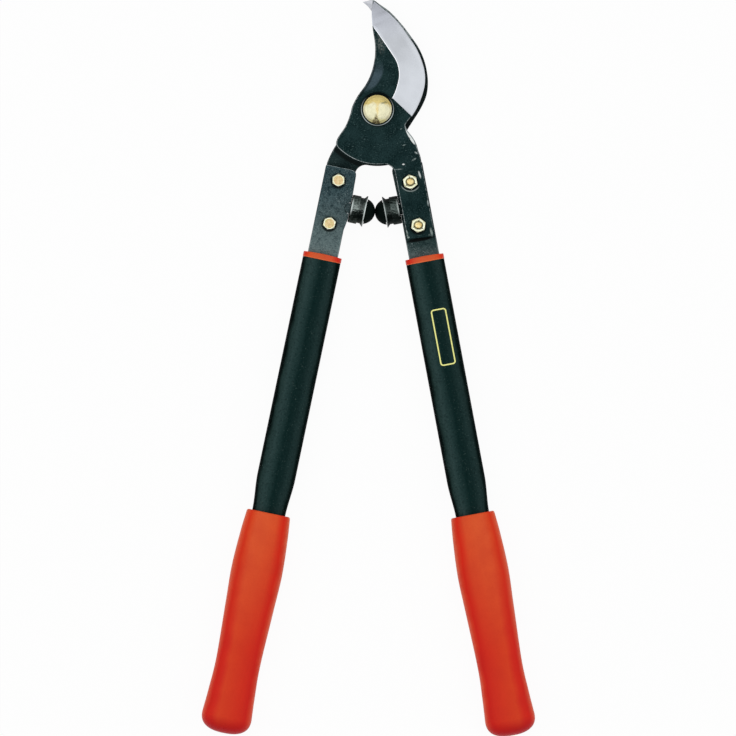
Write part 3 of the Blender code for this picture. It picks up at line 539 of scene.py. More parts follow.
def bolt_holes(side):
    """Drills for both of them."""
    return [hole(centre, BOLT_BORE) for centre in on_bolts(side)]


# %% [markdown]
# ## Steel finishes
# The forgings are blacked: a dark green-black skin with a rough, speckled grain, rubbed to
# bare steel along the edges. A value on the mesh says where the rubbing is, and also where
# painted highlights run along the upper edges and painted shade darkens the outer edges and
# sides; noise breaks it up. The ground faces are bare and smooth, with faint marks across the
# bevel.

# %% Blacked forging
SCOOP_CENTRE = (-0.0177, 0.0346)
SCOOP_RADIUS = 0.0228
SCOOP_DEPTH = 0.0012
# The scoop's ground finish, painted paler as a highlight where its slope catches light.
SCOOP_COLOUR = (70, 88, 97)
SCOOP_FADES = ((0.0395, 0.0280), (0.0130, 0.0190))
PITS = (2.0, 54.0, 10.5, 4.0, -80, 0.3)


def painted_shadow_round(body, place, seats, colour):
    """Painted shadow and grime round heads and nuts, each place (x, y, radius) in millimetres."""
    for x, y, radius in seats:
        body = mix(times(patch(place, x, y, radius, radius, 0, 0.84), 0.92), body, colour)
    return body


def blacked_steel(name, dark, light, speck, marks=(), arcs=(), seats=(), scooped=False):
    """Black oxide: two tones of cloud, pale specks, bare metal with a painted highlight where the mesh's value
    is high, and painted shade where it is below 0.

    marks: scuffs on the top face, one of them with a painted highlight, each (x, y, half length, half width,
    turn, strength, colour).
    arcs: rings drawn only below their centre, each (x, y, radius, half width, colour), used for a witness arc
    with a painted highlight and for a painted shadow.
    seats: places of painted shadow and grime round the nuts.
    """
    made, place = surface_finish(name, specular=0.05)
    cloud, fine = grain(place, 0.012, 4.0), grain(place, 0.0010, 2.0)
    mixed = plus(times(cloud, 0.45), times(fine, 0.55))
    body = mix(stretch(mixed, 0.38, 0.62), dark, light)
    if scooped:
        # Painted highlight: the scoop's ground finish drawn as a paler crescent, faded above and below.
        x, y, radius = (1000 * value for value in (*SCOOP_CENTRE, SCOOP_RADIUS))
        hollow = times(patch(place, x, y, radius, radius, 0, 0.93), stretch(mixed, 0.34, 0.58, 0.45, 1.0))
        for fade in SCOOP_FADES:
            hollow = times(hollow, stretch(parts(place)[1], *fade))
        body = mix(hollow, body, SCOOP_COLOUR)
        pits = times(patch(place, *PITS), stretch(grain(place, 0.0009), 0.44, 0.60))
        body = mix(times(pits, 0.85), body, (112, 118, 114))
    spot = times(stretch(fine, 0.60, 0.72), stretch(grain(place, 0.009), 0.42, 0.62))
    body = mix(times(spot, 0.6), body, speck)
    broken = stretch(grain(place, 0.0016), 0.30, 0.62)
    for *ellipse, strength, colour in marks:
        inside = times(patch(place, *ellipse), plus(broken, 0.25))
        body = mix(times(inside, strength, True), body, colour)
    # Painted shadow and grime round the nuts.
    body = painted_shadow_round(body, place, seats, (1, 7, 7))
    # Arcs drawn only below their centre, where light and shadow fall: painted highlight and painted shadow.
    for x, y, radius, width, colour in arcs:
        flat = seen_from(place, x, y)
        ring = stretch(absolute(minus(length(flat), radius)), width, 0.4 * width)
        below = stretch(parts(flat)[1], -0.45 * radius, -0.7 * radius)
        body = mix(times(times(ring, below), 0.8), body, colour)
    worn_and_painted_light = marked(place, "wear")
    # Painted shade where the mesh's value is below 0: the outer half of the rims and the sides.
    body = mix(stretch(worn_and_painted_light, 0.0, -1.0), body, (2, 8, 8))
    # Bare steel with a painted highlight where the value is high.
    bare_and_highlit = stretch(times(worn_and_painted_light, plus(broken, 0.35)), 0.25, 0.85)
    return finished(made, mix(bare_and_highlit, body, (150, 160, 160)), stretch(fine, 0.2, 0.8, 0.38, 0.62),
                    fine, 0.00008, 0.6, Metallic=times(bare_and_highlit, 0.6))


def ground_steel(name, colour, rough):
    """Ground steel: noise drawn out across the bevel gives faint grinding marks."""
    made, place = surface_finish(name, metallic=1.0)
    marks = grain(node(place, "ShaderNodeUVMap", uv_map="surface").outputs[0], 0.0005, 3.0, (0.05, 1, 1))
    tone = mix(stretch(grain(place, 0.02, 2.0), 0.3, 0.7), colour, [c * 0.95 for c in colour])
    tone = mix(marked(place, "lift"), tone, (206, 210, 220))
    return finished(made, tone, stretch(marks, 0.2, 0.8, rough - 0.04, rough + 0.06), marks, 0.00001)


def seats_round(side, shift, radius):
    """Places of painted shadow and grime round a handle's two bolts, shifted towards the foot of the picture
    where the shadow falls, in millimetres.
    """
    return [(*(on_handle(side, 0, along) * 1000 + shift), radius) for along in BOLT_STATIONS.values()]


# Scuffs on the front forging. The first, long and bright, is wear with a painted highlight along the neck's
# edge.
SCUFFS_AND_NECK_HIGHLIGHT = (
    (26.9, -21.6, 8.4, 1.5, -60, 2.2, (240, 245, 243)), (31.9, -35.2, 1.8, 0.8, -33, 1.0, (170, 182, 180)),
    (30.3, -40.6, 2.7, 0.8, 32, 0.8, (130, 146, 144)), (21.8, -44.7, 1.3, 0.7, 1, 1.4, (226, 232, 230)),
    (35.0, -53.0, 3.6, 0.9, -72, 1.3, (200, 210, 208)), (41.9, -76.0, 2.8, 0.7, -85, 0.9, (150, 162, 160)),
    (17.5, -48.8, 4.6, 0.5, 4, 0.9, (120, 134, 132)), (22.0, -29.0, 1.6, 0.6, 20, 1.0, (130, 146, 144)),
    (19.5, -15.8, 1.2, 0.6, 30, 0.9, (120, 136, 134)), (24.5, -101.4, 4.2, 1.9, -78, 1.2, (140, 155, 150)),
    (25.6, -104.4, 2.4, 1.0, 12, 1.1, (140, 155, 150)), (45.1, -99.6, 4.6, 1.2, -78, 0.9, (140, 155, 150)),
    (44.2, -101.9, 2.2, 1.1, 20, 0.6, (120, 136, 132)))
# The front forging's arc is a pale witness arc below the upper right nut, painted only on its lower side as a
# highlight; its seats are painted shadow round the right nuts.
FRONT_FORGED = blacked_steel("forged_black", (0, 26, 27), (32, 56, 57), (92, 112, 112), SCUFFS_AND_NECK_HIGHLIGHT,
                             ((27.4, -58.3, 8.3, 0.60, (150, 162, 160)),),
                             seats_round(RIGHT, (-0.2, -0.8), 7.5), True)
# The hook's arc is a painted shadow that the cutting blade's heel casts on the hook's tang.
BACK_FORGED = blacked_steel("forged_black_back", (4, 24, 25), (36, 54, 54), (92, 108, 106),
                            arcs=((0.0, 0.0, 47.4, 2.3, (2, 8, 8)),))
GROUND = ground_steel("ground_steel", (196, 200, 206), 0.30)
# Painted highlight: a bright strip of ground steel along the bevel's upper line, where its edge catches light.
BEVEL_LINE_HIGHLIGHT = ground_steel("bevel_line_highlight", (250, 252, 255), 0.22)


# %% [markdown]
# ## The other finishes
# Strap steel is grey-green with fine speckle. The pivot's brass head is turned, so its
# grooves run round the axis and spread reflections across them, and its pale and dark
# sectors are painted reflections too. The zinc is passivated yellow, the cups are blued steel
# and the noses dull rubber. Tubes are satin paint, collars and grips orange-red. The pieces
# that are round carry marks that say where a point lies across or round them, and a ramp of
# painted light and shade follows those marks.

# %% Bare and plated metals
CREAM = (241, 237, 200)
BRASS_SCRATCHES = ((6.6, 6.2, 2.0, 0.6, -34), (4.6, 4.9, 2.4, 0.6, 12), (5.4, 5.7, 3.2, 0.8, 6))


def round_axis(place):
    """x, y, the distance from the pivot's axis, and a place that depends on that alone."""
    x, y, _ = parts(place)
    radius = root(plus(times(x, x), times(y, y)))
    return x, y, radius, node(place, "ShaderNodeCombineXYZ", {0: radius}).outputs[0]


def slid_steel():
    """Steel polished by the other blade: fine scores run round the pivot."""
    made, place = surface_finish("slid_steel", metallic=1.0)
    scores = grain(round_axis(place)[3], 0.00035)
    tone = mix(stretch(plus(grain(place, 0.006), scores), 0.8, 1.25), (162, 164, 170), (198, 200, 206))
    return finished(made, tone, stretch(scores, 0.3, 0.7, 0.26, 0.42), scores, 0.00002)


def strap_steel(name, dark, light, foot, pale_from, pale_to, seats=(), shade=()):
    """Phosphated bar: grey-green and speckled, paler towards its foot, bright where it is worn or has a
    painted highlight, dark where it has painted shade.

    pale_from, pale_to: distances below the pivot between which the foot's colour sets in.
    seats: places of painted shadow and grime round the heads. shade: painted shadow patches, given like the
    forging's scuffs.
    """
    made, place = surface_finish(name, specular=0.06)
    speck = plus(times(grain(place, 0.0008, 2.0), 0.6), times(grain(place, 0.0028), 0.4))
    body = mix(stretch(speck, 0.38, 0.64), dark, light)
    paler = times(stretch(parts(place)[1], -pale_from, -pale_to), stretch(speck, 0.34, 0.60, 0.3, 1.0))
    body = mix(paler, body, foot)
    dust = times(stretch(grain(place, 0.0007, 2.0), 0.62, 0.74), stretch(grain(place, 0.010, 4.0), 0.35, 0.6))
    # Pale dust, then painted shadow and grime round the heads.
    body = painted_shadow_round(mix(dust, body, (160, 174, 174)), place, seats, (1, 8, 8))
    # Painted shadow patches.
    for *ellipse, strength, colour in shade:
        body = mix(times(patch(place, *ellipse), strength), body, colour)
    worn_and_painted_light = marked(place, "wear")
    # Painted shade on the outer half of the rims and the sides, where the mesh's value is below 0; bare steel
    # with a painted highlight where it is high.
    body = mix(stretch(worn_and_painted_light, 0.0, -1.0), body, (4, 14, 14))
    bare_and_highlit = stretch(times(worn_and_painted_light, plus(speck, 0.45)), 0.3, 0.85)
    return finished(made, mix(bare_and_highlit, body, (170, 182, 182)), stretch(speck, 0.3, 0.7, 0.42, 0.6), speck, 0.0001)


def turned_brass():
    """Lathe rings round the axis, with painted reflections: gold at the top, cream to both sides, a dark
    painted reflection at the foot, and painted shade round the rim.
    """
    made, place = surface_finish("pivot_brass", metallic=0.45, specular=0.3)
    x, y, radius, at = round_axis(place)
    rings, cloud = grain(at, 0.0006, 2.0), grain(place, 0.0030)
    wave = stretch(cloud, 0.25, 0.75, -0.0012, 0.0012)
    tone = mix(stretch(cloud, 0.35, 0.65), CREAM, [c * 0.94 for c in CREAM])
    # Painted reflections set by place on the head: cream to both sides, gold at the top, and a dark wedge at
    # the foot.
    beside = minus(plus(absolute(x), wave), times(plus(y, 0.004), 0.14))
    tone = mix(times(stretch(beside, 0.0011, -0.0003), 0.85), tone, (230, 208, 142))
    up = plus(plus(y, times(times(x, x), 25.0)), wave)
    gold = mix(stretch(plus(y, wave), 0.0050, 0.0090), (214, 192, 118), (248, 226, 146))
    tone = mix(stretch(up, 0.0044, 0.0064), tone, gold)
    tone = mix(times(stretch(up, -0.0066, -0.0084), 0.75), tone, (238, 230, 160))
    wedge = minus(times(minus(-0.0034, y), 0.46), absolute(plus(x, 0.0010)))
    foot_reflection = stretch(plus(wedge, times(wave, 0.5)), -0.0004, 0.0007)
    tone = mix(foot_reflection, tone, mix(stretch(grain(place, 0.0016), 0.42, 0.58), (100, 88, 62), (186, 178, 132)))
    tone = mix(stretch(rings, 0.56, 0.72, 0.0, 0.30), tone, (190, 168, 104))
    tone = mix(stretch(absolute(minus(radius, 0.0102)), 0.0004, 0.0002, 0.0, 0.32), tone, (170, 150, 100))
    for ellipse in BRASS_SCRATCHES:
        tone = mix(times(patch(place, *ellipse), 0.5), tone, (112, 116, 84))
    # Painted shade round the head's rim.
    tone = mix(stretch(radius, 0.01155, 0.01185), tone, (60, 56, 30))
    tangent = node(place, "ShaderNodeTangent", direction_type="RADIAL", axis="Z").outputs[0]
    return finished(made, tone, stretch(rings, 0.3, 0.7, 0.26, 0.36), rings, 0.00010,
                    Anisotropic=0.6, Tangent=tangent)


def plated(name, pale, deep, third=None):
    """Passivated zinc: a pale yellow-green film with faint patches, and painted shade where the mesh's value
    is high: in stake dents, round a locking nut's bore, at a bolt tip's rim and on the back washer's ring.
    """
    made, place = surface_finish(name, metallic=0.8)
    fine = grain(place, 0.0006, 2.0)
    tone = mix(stretch(grain(place, 0.0018), 0.38, 0.62), pale, deep)
    if third:
        tone = mix(stretch(grain(place, 0.0014, 2.0), 0.52, 0.66), tone, third)
    # Painted shade from the mesh's value.
    tone = mix(marked(place, "wear"), tone, (58, 50, 22))
    return finished(made, tone, stretch(fine, 0.3, 0.7, 0.24, 0.38), fine, 0.00006, 0.4)


def washer_black():
    """Black with rubbed grey clouds, and a painted highlight on its rounded edge where the mesh's value is
    high.
    """
    made, place = surface_finish("washer_black", specular=0.03)
    rub = grain(place, 0.0035, 4.0, roughness=0.65)
    tone = mix(stretch(rub, 0.46, 0.66), (3, 10, 10), (12, 22, 21))
    # Painted highlight on the rounded edge.
    tone = mix(marked(place, "wear"), tone, (190, 204, 204))
    return finished(made, tone, stretch(rub, 0.4, 0.7, 0.45, 0.6), grain(place, 0.0008, 2.0), 0.00005, 0.4)


# Painted reflections and shade round a cup, from the side towards the grips to the side towards the blades.
CUP_TONES = {
    LEFT: ((0.00, (62, 70, 66)), (0.08, (60, 68, 64)), (0.15, (38, 46, 43)), (0.23, (10, 18, 15)),
           (0.40, (12, 20, 17)), (0.46, (84, 95, 92)), (0.52, (158, 170, 166)), (0.60, (148, 160, 156)),
           (0.70, (112, 124, 120)), (0.83, (84, 96, 92)), (0.91, (50, 60, 57)), (0.95, (4, 10, 9))),
    RIGHT: ((0.00, (54, 62, 59)), (0.08, (32, 40, 38)), (0.18, (15, 23, 21)), (0.34, (18, 26, 24)),
            (0.42, (44, 54, 51)), (0.50, (104, 116, 112)), (0.62, (98, 110, 107)), (0.74, (70, 82, 78)),
            (0.86, (40, 50, 47)), (0.92, (3, 9, 8)))}


def cup_steel(name, tones, shine):
    """Blued steel cup: brushed streaks run along it, painted reflections and shade run round it, painted shade
    darkens its neck and its foot's edge, and painted highlights lie on its lip and foot.
    """
    made, place = surface_finish(name, specular=0.04)
    rub = grain(place, 0.0013, 4.0, (0.35, 1.0, 1.0), 0.7)
    around, line = marked(place, "around"), marked(place, "wear")
    # Painted reflections and shade round the cup.
    tone = colour_ramp(stretch(plus(around, stretch(rub, 0.35, 0.65, -0.26, 0.26)), -1.0, 1.0), tones)
    tone = mix(stretch(grain(place, 0.0011, 2.0), 0.52, 0.40, 0.0, 0.55), tone, (10, 17, 15))
    # Painted shade where the mesh's value is below 0.
    tone = mix(stretch(line, 0.0, -1.0), tone, (3, 9, 8))
    # Painted highlights on the lip and foot, on part of the way round, dimmed by the shine.
    facing = least(stretch(around, -0.95, -0.10, 0.30, 1.0), stretch(around, 0.35, 0.90, 1.0, 0.0))
    tone = mix(times(times(line, facing, True), shine, True), tone, (226, 238, 235))
    return finished(made, tone, 0.5, rub, 0.00005, 0.4)


SLID = slid_steel()
# Painted shadow that the cutting blade's tang end casts on the right strap.
UNDER_TANG_SHADOW = (*(on_handle(RIGHT, -0.0010, 0.1108) * 1000), 14.0, 1.9, 11.2, 0.6, 1.0, (1, 6, 6))
# The right strap's steel is a shaded copy, darker all over: painted shade.
STRAPS = {LEFT: strap_steel("strap_steel", (12, 39, 45), (72, 94, 99), (108, 126, 126), 0.065, 0.115,
                            seats=seats_round(LEFT, (0.0, -0.6), 6.9)),
          RIGHT: strap_steel("strap_steel_shaded", (14, 38, 39), (52, 74, 73), (92, 112, 112), 0.110, 0.119,
                             shade=(UNDER_TANG_SHADOW,))}
BRASS = turned_brass()
ZINC = plated("yellow_zinc", (236, 240, 216), (214, 214, 176))
HEAD = plated("head_zinc", (214, 194, 148), (200, 170, 130), (178, 170, 104))
GOLD = plated("gold_zinc", (236, 220, 168), (212, 186, 116))
WASHER = washer_black()
# The right cup's steel is a shaded copy, with darker tones and dimmer painted highlights.
CUPS = {LEFT: cup_steel("cup_black", CUP_TONES[LEFT], 1.0),
        RIGHT: cup_steel("cup_black_shaded", CUP_TONES[RIGHT], 0.62)}


# %% Paint
# Painted light and shade across a tube from the left of the picture to the right, at places from 0 to 1: dark
# edges, the brightest band left of the middle.
TUBE_TONES = ((0.06, (2, 9, 8)), (0.13, (37, 57, 55)), (0.25, (46, 67, 66)), (0.37, (34, 56, 55)),
              (0.50, (15, 38, 37)), (0.64, (20, 41, 40)), (0.77, (33, 53, 52)), (0.87, (32, 50, 49)),
              (0.94, (2, 14, 12)))
LABEL_CENTRE = on_handle(RIGHT, 0.0032, 0.1925) * 1000
LABEL_SIZE = (11.7, 45.6)
LABEL_CORNER = 2.0
LABEL_LINE = 1.0


def label_outline(place):
    """1 on the line of a rounded rectangle on the top face, worked out as a distance to its edge."""
    x, y, height = parts(seen_from(place, *LABEL_CENTRE, turn=math.degrees(SPLAY)))
    past = [minus(absolute(value), size / 2 - LABEL_CORNER) for value, size in zip((x, y), LABEL_SIZE)]
    corner = root(plus(*[times(value, value) for value in [most(value, 0.0) for value in past]]))
    off_edge = absolute(minus(plus(corner, least(most(*past), 0.0)), LABEL_CORNER))
    return times(stretch(off_edge, LABEL_LINE * 0.62, LABEL_LINE * 0.42), above(height, MID))


def satin_paint(name, labelled):
    """Powder coat: fine orange peel, small pale dust specks, and painted light and shade in bands that run
    along the tube.
    """
    made, place = surface_finish(name, specular=0.008)
    peel, fine = grain(place, 0.0012, 2.0), grain(place, 0.0016)
    cloud = stretch(grain(place, 0.010, 4.0, (1, 0.4, 1)), 0.2, 0.8, -0.09, 0.09)
    # Painted light and shade across the tube.
    body = colour_ramp(stretch(plus(marked(place, "sideways"), cloud), -1.0, 1.0), TUBE_TONES)
    body = mix(stretch(fine, 0.30, 0.50, 0.45, 0.0), body, (6, 22, 22))
    dust = stretch(grain(place, 0.0010, 2.0), 0.64, 0.76)
    body = mix(times(dust, 0.45), body, (92, 112, 108))
    if labelled:
        body = mix(times(label_outline(place), stretch(fine, 0.30, 0.40, 0.75, 1.0)), body, (255, 255, 160))
    return finished(made, body, stretch(peel, 0.3, 0.7, 0.36, 0.48), peel, 0.00006)


def dull_rubber():
    made, place = surface_finish("nose_rubber", specular=0.05)
    pores = grain(place, 0.0007)
    return finished(made, mix(stretch(pores, 0.3, 0.8), (2, 10, 8), (10, 22, 19)), 0.72, pores, 0.00012)


NOSE = dull_rubber()
PAINTS = {LEFT: satin_paint("tube_black", False), RIGHT: satin_paint("tube_black_labelled", True)}

# %% Orange plastic and rubber
# Painted light and shade across a collar and a grip, from the inner side to the outer side, at places from 0
# to 1.
COLLAR_TONES = ((0.00, (227, 60, 44)), (0.09, (226, 43, 25)), (0.16, (221, 62, 32)), (0.25, (222, 84, 48)),
                (0.50, (216, 93, 48)), (0.72, (223, 99, 51)), (0.83, (229, 88, 40)), (0.93, (235, 62, 28)),
                (1.00, (227, 60, 44)))
MOUTH_TONES = ((0.00, (236, 112, 70)), (0.06, (226, 65, 34)), (0.13, (228, 41, 14)), (0.20, (227, 60, 26)),
               (0.28, (228, 82, 37)), (0.50, (229, 91, 43)), (0.72, (229, 89, 44)), (0.80, (228, 76, 32)),
               (0.88, (226, 53, 18)), (0.95, (234, 82, 41)), (1.00, (236, 113, 72)))
FOOT_TONES = ((0.00, (233, 96, 60)), (0.06, (224, 57, 31)), (0.13, (216, 33, 22)), (0.25, (218, 43, 22)),
              (0.50, (219, 56, 25)), (0.68, (223, 64, 28)), (0.80, (220, 40, 23)), (0.90, (219, 33, 20)),
              (0.96, (226, 68, 38)), (1.00, (233, 96, 60)))
# Painted shade under the grip's butt.
BUTT_SHADE = (192, 16, 26)


def moulded(name, rough, tone_for):
    """Moulded plastic or rubber: painted light and shade from the mesh's marks, under a fine skin and slow
    blotches.
    """
    made, place = surface_finish(name, specular=0.12)
    fine, cloud = grain(place, 0.0015), grain(place, 0.016)
    wavy = plus(marked(place, "across"), stretch(cloud, 0.2, 0.8, -0.05, 0.05))
    tone = tone_for(stretch(wavy, -1.0, 1.0), marked(place, "along"))
    blotch = stretch(plus(cloud, times(fine, 0.4)), 0.55, 0.9, 0.0, 0.22)
    return finished(made, mix(blotch, tone, (196, 30, 22)), stretch(fine, 0.3, 0.7, rough, rough + 0.1),
                    fine, 0.00005)


def collar_tone(over, along):
    """Painted light and shade across it, with a painted highlight along the lower edge."""
    return mix(stretch(along, 0.70, 0.95, 0.0, 0.8), colour_ramp(over, COLLAR_TONES), (250, 128, 74))


def grip_tone(over, along):
    """Painted light and shade across it: orange at the mouth, redder towards the foot, and painted shade in
    deep red under the butt.
    """
    tone = mix(stretch(along, 0.04, 0.62), colour_ramp(over, MOUTH_TONES), colour_ramp(over, FOOT_TONES))
    return mix(stretch(along, 0.93, 0.985), tone, BUTT_SHADE)


COLLAR = moulded("collar_orange", 0.35, collar_tone)
GRIP = moulded("grip_orange", 0.42, grip_tone)


# %% [markdown]
# ## A forged plate
# A plate is a ladder of cross-sections: each rung runs from the left side, over a crease
# line, to the right side, and back underneath. Its top and underside are straight between
# those three lines, and each side has its corners broken by a small round. Where the sides
# run together, at the tip and in the middle of the tang's end, the skin closes by itself.

# %% Plate
NEAR_EDGE = 0.0005
BRIGHT_STRIP = 0.00045
RIM_STEPS = 5
PART_NAMES = ("top_left", "top_right", "right_rim", "right_foot", "under_right", "under_left", "left_foot",
              "left_rim")


def inward_normals(side_line, plate_on_left):
    """Unit normals of a side line that point into the plate."""
    ahead = np.gradient(side_line, axis=0)
    ahead /= np.linalg.norm(ahead, axis=1)[:, None]
    turn = 1.0 if plate_on_left else -1.0
    return np.column_stack([-ahead[:, 1], ahead[:, 0]]) * turn


def plate(left, crease, right, top, bottom, rounds, counts=(24, 10, 5)):
    """The ladder's grid and the column numbers of its parts.

    left, crease, right: lines of equal length. top, bottom: heights at the three lines.
    rounds: radius of the broken edges on the left and on the right. counts: points across the
    top's left part, its right part and each part of the underside.
    """
    rounds = np.minimum(rounds, 0.45 * (top - bottom)[:, [0, 2]])
    into_left, into_right = inward_normals(left, False), inward_normals(right, True)
    pinched = np.hypot(*(left - right).T) < 1e-6
    shared = into_left[pinched] + into_right[pinched]
    shared /= np.maximum(np.linalg.norm(shared, axis=1), 1e-9)[:, None]
    into_left[pinched] = into_right[pinched] = shared
    rounds[pinched] = rounds[pinched].min(1, keepdims=True)
    left_in, right_in = left + into_left * rounds[:, :1], right + into_right * rounds[:, 1:]
    crease = np.where(pinched[:, None], left_in, crease)

    def span(a, b, za, zb, parts):
        f = np.asarray(parts)[..., None]
        flat = a[:, None] * (1 - f) + b[:, None] * f
        height = za[:, None, None] * (1 - f) + zb[:, None, None] * f
        return np.concatenate([flat, np.broadcast_to(height, flat.shape[:2] + (1,))], 2)

    def rim(line, into, radius, level, sign, reverse):
        a = np.linspace(0, math.pi / 2, RIM_STEPS)[::-1 if reverse else 1]
        inset = radius[:, None] * (1 - np.sin(a))
        flat = line[:, None] + into[:, None] * inset[..., None]
        height = level[:, None] + sign * radius[:, None] * (1 - np.cos(a))
        return np.concatenate([flat, height[..., None]], 2)

    widths = [np.maximum(np.linalg.norm(crease - side_in, axis=1), 1e-6) for side_in in (left_in, right_in)]
    near_left, near_right = (np.minimum(NEAR_EDGE / width, 0.04)[:, None] for width in widths)
    edge = 1 - np.minimum(BRIGHT_STRIP, 0.3 * widths[0]) / widths[0]
    spread = near_left + (1 - near_left) * np.linspace(0, 1, counts[0] - 1)
    over_left = np.column_stack([0 * edge, spread * edge[:, None], np.ones(len(left))])
    over_right = np.column_stack([np.linspace(0, 1, counts[1] - 1)[1:] * (1 - near_right), np.ones(len(left))])
    under = np.broadcast_to(np.linspace(0, 1, counts[2]), (len(left), counts[2]))
    parts = [span(left_in, crease, top[:, 0], top[:, 1], over_left),
             span(crease, right_in, top[:, 1], top[:, 2], over_right),
             rim(right, into_right, rounds[:, 1], top[:, 2], -1, False)[:, 1:],
             rim(right, into_right, rounds[:, 1], bottom[:, 2], 1, True),
             span(right_in, crease, bottom[:, 2], bottom[:, 1], under)[:, 1:],
             span(crease, left_in, bottom[:, 1], bottom[:, 0], under)[:, 1:-1],
             rim(left, into_left, rounds[:, 0], bottom[:, 0], 1, False),
             rim(left, into_left, rounds[:, 0], top[:, 0], -1, True)[:, :-1]]
    ends = np.cumsum([0] + [p.shape[1] for p in parts])
    return np.concatenate(parts, 1), {n: slice(a, b) for n, a, b in zip(PART_NAMES, ends, ends[1:])}


def rim_wear_and_light(grid, part, left, right):
    """Rubbing with a painted highlight on the inner half of the two upper rims, and painted shade (below 0) on
    the outer half and sides.
    """
    worn_and_painted_light = np.zeros(grid.shape[:2])
    for name in ("left_rim", "left_foot", "right_rim", "right_foot"):
        worn_and_painted_light[:, part[name]] = -1.0
    worn_and_painted_light[:, 0], worn_and_painted_light[:, part["top_right"].stop - 1] = left, right
    worn_and_painted_light[:, part["left_rim"].stop - 1], worn_and_painted_light[:, part["right_rim"].start] = 0.7 * left, 0.7 * right
    return worn_and_painted_light


def rub_and_light_right_side(wear, part, amount):
    """Take painted shade off the right side, rung by rung, and make it bright, as wear with a painted
    highlight, where the amount is over 1.
    """
    for name in ("right_rim", "right_foot"):
        wear[:, part[name]] = np.maximum(wear[:, part[name]], amount[:, None] - 1)


# %% [markdown]
# ## Cutting blade
# The front blade carries the long ground bevel. Its left side runs up the tang, round the
# heel and up the hollow spine, and its right side up the neck and along the cutting edge.
# The crease between them becomes the bevel's inner line, and meets the spine near the tip.
# There is a step at the bevel's lower end, where the wheel left the metal, and a shallow
# round scoop in the spine.

# %% Cutting blade outline
EDGE_SHAPE = ((0.318, -0.062), (0.364, 0.017), (0.410, 0.128), (0.435, 0.240), (0.432, 0.350),
              (0.401, 0.461), (0.351, 0.571), (0.277, 0.680), (0.198, 0.785), (0.104, 0.883),
              (0.046, 0.926), (-0.044, 1.000))
GRIND_SHAPE = ((0.140, 0.104), (0.173, 0.181), (0.200, 0.293), (0.196, 0.378), (0.169, 0.459),
               (0.096, 0.569), (0.019, 0.679), (-0.036, 0.752), (-0.105, 0.815), (-0.170, 0.880))
SPINE_SHAPE = ((-0.044, 1.000), (-0.060, 0.945), (-0.064, 0.890), (-0.053, 0.752), (-0.032, 0.623),
               (-0.027, 0.540), (-0.033, 0.456), (-0.058, 0.345), (-0.107, 0.234))
LOWER_SPINE_SHAPE = ((-0.491, -0.089), (-0.572, -0.307), (-0.713, -0.525), (-0.743, -0.644))
NECK_SHAPE = ((0.523, -0.252), (0.511, -0.302), (0.549, -0.383), (0.649, -0.510), (0.713, -0.629),
              (0.743, -0.727), (0.784, -0.836))
BLADE_HEEL_END = math.radians(225.0)
HUB_POINTS = (math.radians(147.0), math.radians(174.0))
BLADE_COUNTS = (26, 30, 16, 20, 24, 40, 90, 50)
HEEL_ROW = 110
TANG_FOOT = TANG_LENGTH - 0.004


def polar(radius, angle):
    """A point from its distance and direction."""
    return np.array([radius * math.cos(angle), radius * math.sin(angle)])


def crotch(side):
    """Fillet between a tang's inner side and the heel: its points, its end's angle, its start."""
    reach = OFFSETS[side] - TANG_INNER[side] - CROTCH_FILLET
    along = math.sqrt((HEEL_RADII[side] + CROTCH_FILLET) ** 2 - reach ** 2)
    centre = on_handle(side, reach - OFFSETS[side], along)
    on_tang = on_handle(side, -TANG_INNER[side], along)
    start = math.atan2(*(on_tang - centre)[::-1])
    turn = (math.atan2(-centre[1], -centre[0]) - start + math.pi) % (2 * math.pi) - math.pi
    heel_angle = math.atan2(centre[1], centre[0]) % (2 * math.pi)
    return arc(centre, CROTCH_FILLET, start, start + turn, 24), heel_angle, along


def tang_end(side, outer_side):
    """From the middle of the tang's end round one of its corners."""
    middle = on_handle(side, (TANG_OUTER - TANG_INNER[side]) / 2, TANG_LENGTH)
    edge, skew = (TANG_OUTER, TANG_SKEW) if outer_side else (-TANG_INNER[side], -TANG_SKEW)
    corner, up = on_handle(side, edge, TANG_LENGTH + skew), on_handle(side, edge, TANG_LENGTH - 0.02)
    return rounded([(*middle, 0), (*corner, TANG_CORNER), (*up, 0)], 12)


